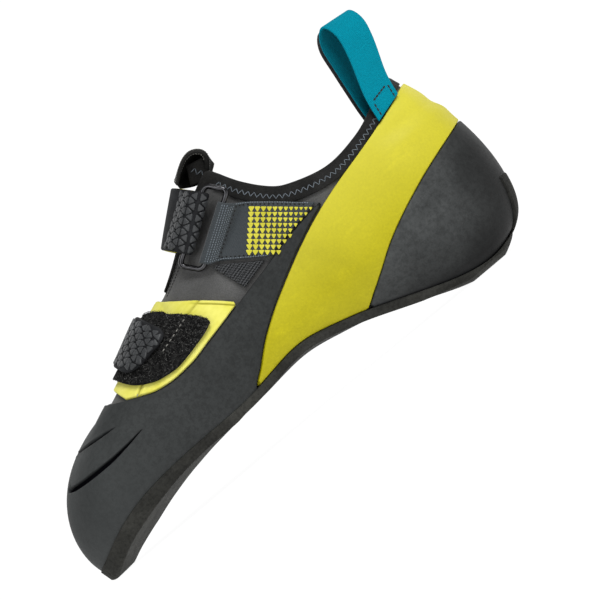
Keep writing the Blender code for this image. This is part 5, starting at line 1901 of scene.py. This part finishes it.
def add_pull_loop(name, node, finish, side, taller):
    """Webbing loop sewn over the collar beside the heel, with the black box seam at its outer foot."""
    line = np.stack([PULL_LOOP["s"], PULL_LOOP["y"] * -side, PULL_LOOP["h"]], -1)
    line[:, 2] += taller * (line[:, 2] > 90)
    shares = fine_ends(120)
    run = lengths(line)
    lean = fair(run, PULL_LOOP["lean"])(shares * run[-1])
    centre = read_fair(line, shares)
    turn = np.radians(np.interp(shares * run[-1], run, PULL_LOOP["turn"]))
    width = np.stack([np.cos(turn), -side * np.sin(turn), lean], -1)
    grid = centre[:, None] + width[:, None] * ((crowded(25) - 0.5) * LOOP_WIDTH)[:, None]
    # Its inner side is painted darker, as shade inside the loop.
    loop = add_sheet(name, finish, node, grid, LOOP_WEB, 0.5, (0, -side, 0), least=0.45, shaded_inside=True)
    seams = [stitched(loop, (BOX_RUN[1], BOX_RUN[1]), BOX_SIDES, 40, *BOX_STITCH)]
    for share in BOX_SIDES:
        seams.append(stitched(loop, BOX_RUN, (share, share), 30, *BOX_STITCH))
    sew(name + "_seam", "thread_black", seams, 0.34)


# Studio


# Floor and wall in metres: front and back of the level part, radius of the bend, height and half width
FLOOR_FRONT = -1.3
FLOOR_BACK = 2.6
FLOOR_BEND = 1.6
WALL_TOP = 6.0
HALF_WIDTH = 6.0


def add_backdrop():
    """Pale floor that curves up into a wall far behind the shoe."""
    profile = [(FLOOR_FRONT, 0.0), (FLOOR_BACK, 0.0)]
    for step in range(1, 13):
        angle = math.radians(7.5 * step)
        profile.append((FLOOR_BACK + FLOOR_BEND * math.sin(angle), FLOOR_BEND * (1 - math.cos(angle))))
    profile.append((FLOOR_BACK + FLOOR_BEND, WALL_TOP))
    points = [(x, y, z) for y, z in profile for x in (-HALF_WIDTH, HALF_WIDTH)]
    faces = [[2 * i, 2 * i + 1, 2 * i + 3, 2 * i + 2] for i in range(len(profile) - 1)]
    mesh = bpy.data.meshes.new("backdrop")
    mesh.from_pydata(points, [], faces)
    mesh.shade_smooth()
    finish = Finish(
        "backdrop_white", (0.12, 0.12, 0.12), 1.0, Specular_IOR_Level=0.0,
        Emission_Color=(1.0, 1.0, 1.0, 1.0), Emission_Strength=0.97,
    )
    mesh.materials.append(finish.material)
    floor = bpy.data.objects.new("backdrop", mesh)
    bpy.context.scene.collection.objects.link(floor)


def add_light(name, place, target, size, power):
    lamp = bpy.data.lights.new(name, "AREA")
    lamp.shape = "DISK"
    lamp.size = size
    lamp.energy = power
    light = bpy.data.objects.new(name, lamp)
    light.location = place
    light.rotation_euler = (Vector(target) - Vector(place)).to_track_quat("-Z", "Y").to_euler()
    bpy.context.scene.collection.objects.link(light)


def add_studio():
    world = bpy.data.worlds.new("studio")
    bpy.context.scene.world = world
    world.use_nodes = True
    sky = world.node_tree.nodes["Background"]
    sky.inputs["Color"].default_value = (1.0, 1.0, 1.0, 1.0)
    sky.inputs["Strength"].default_value = 0.3
    add_light("key", (0.95, -1.0, 1.5), (0.0, 0.0, 0.05), 0.9, 26.0)
    add_light("fill", (-0.9, -1.6, 0.9), (0.0, 0.0, 0.05), 1.2, 8.0)
    bpy.context.scene.view_settings.view_transform = "Standard"


LENS = 200.0
SENSOR = 36.0
VIEW_WIDTH = 266.1
VIEW_S = 144.6
VIEW_H = 42.6
ROLL = math.radians(39.75)


def add_camera():
    """Level camera on the inner side, rolled as the photograph shows the shoe."""
    data = bpy.data.cameras.new("camera")
    data.lens = LENS
    data.sensor_width = SENSOR
    camera = bpy.data.objects.new("camera", data)
    distance = VIEW_WIDTH * MM * LENS / SENSOR
    place = Vector(((VIEW_S - MIDDLE_S) * MM, -distance, VIEW_H * MM))
    right = Vector((math.cos(ROLL), 0.0, -math.sin(ROLL)))
    up = Vector((math.sin(ROLL), 0.0, math.cos(ROLL)))
    back = Vector((0.0, -1.0, 0.0))
    turn = Matrix((right, up, back)).transposed().to_4x4()
    camera.matrix_world = Matrix.Translation(place) @ turn
    bpy.context.scene.collection.objects.link(camera)
    bpy.context.scene.camera = camera


make_finishes()
add_upper()
add_outsole()
add_insole()
add_toe_rand()
add_heel_rubber()
add_panel()
add_pile()
add_upper_closure()
add_lower_closure()
add_binding()
add_tongue()
add_pull_loop("pull_loop_near_web", "pull_loop_near", "loop_turquoise", -1, 0.0)
add_pull_loop("pull_loop_far_web", "pull_loop_far", "loop_black", 1, 1.0)
add_backdrop()
add_studio()
add_camera()
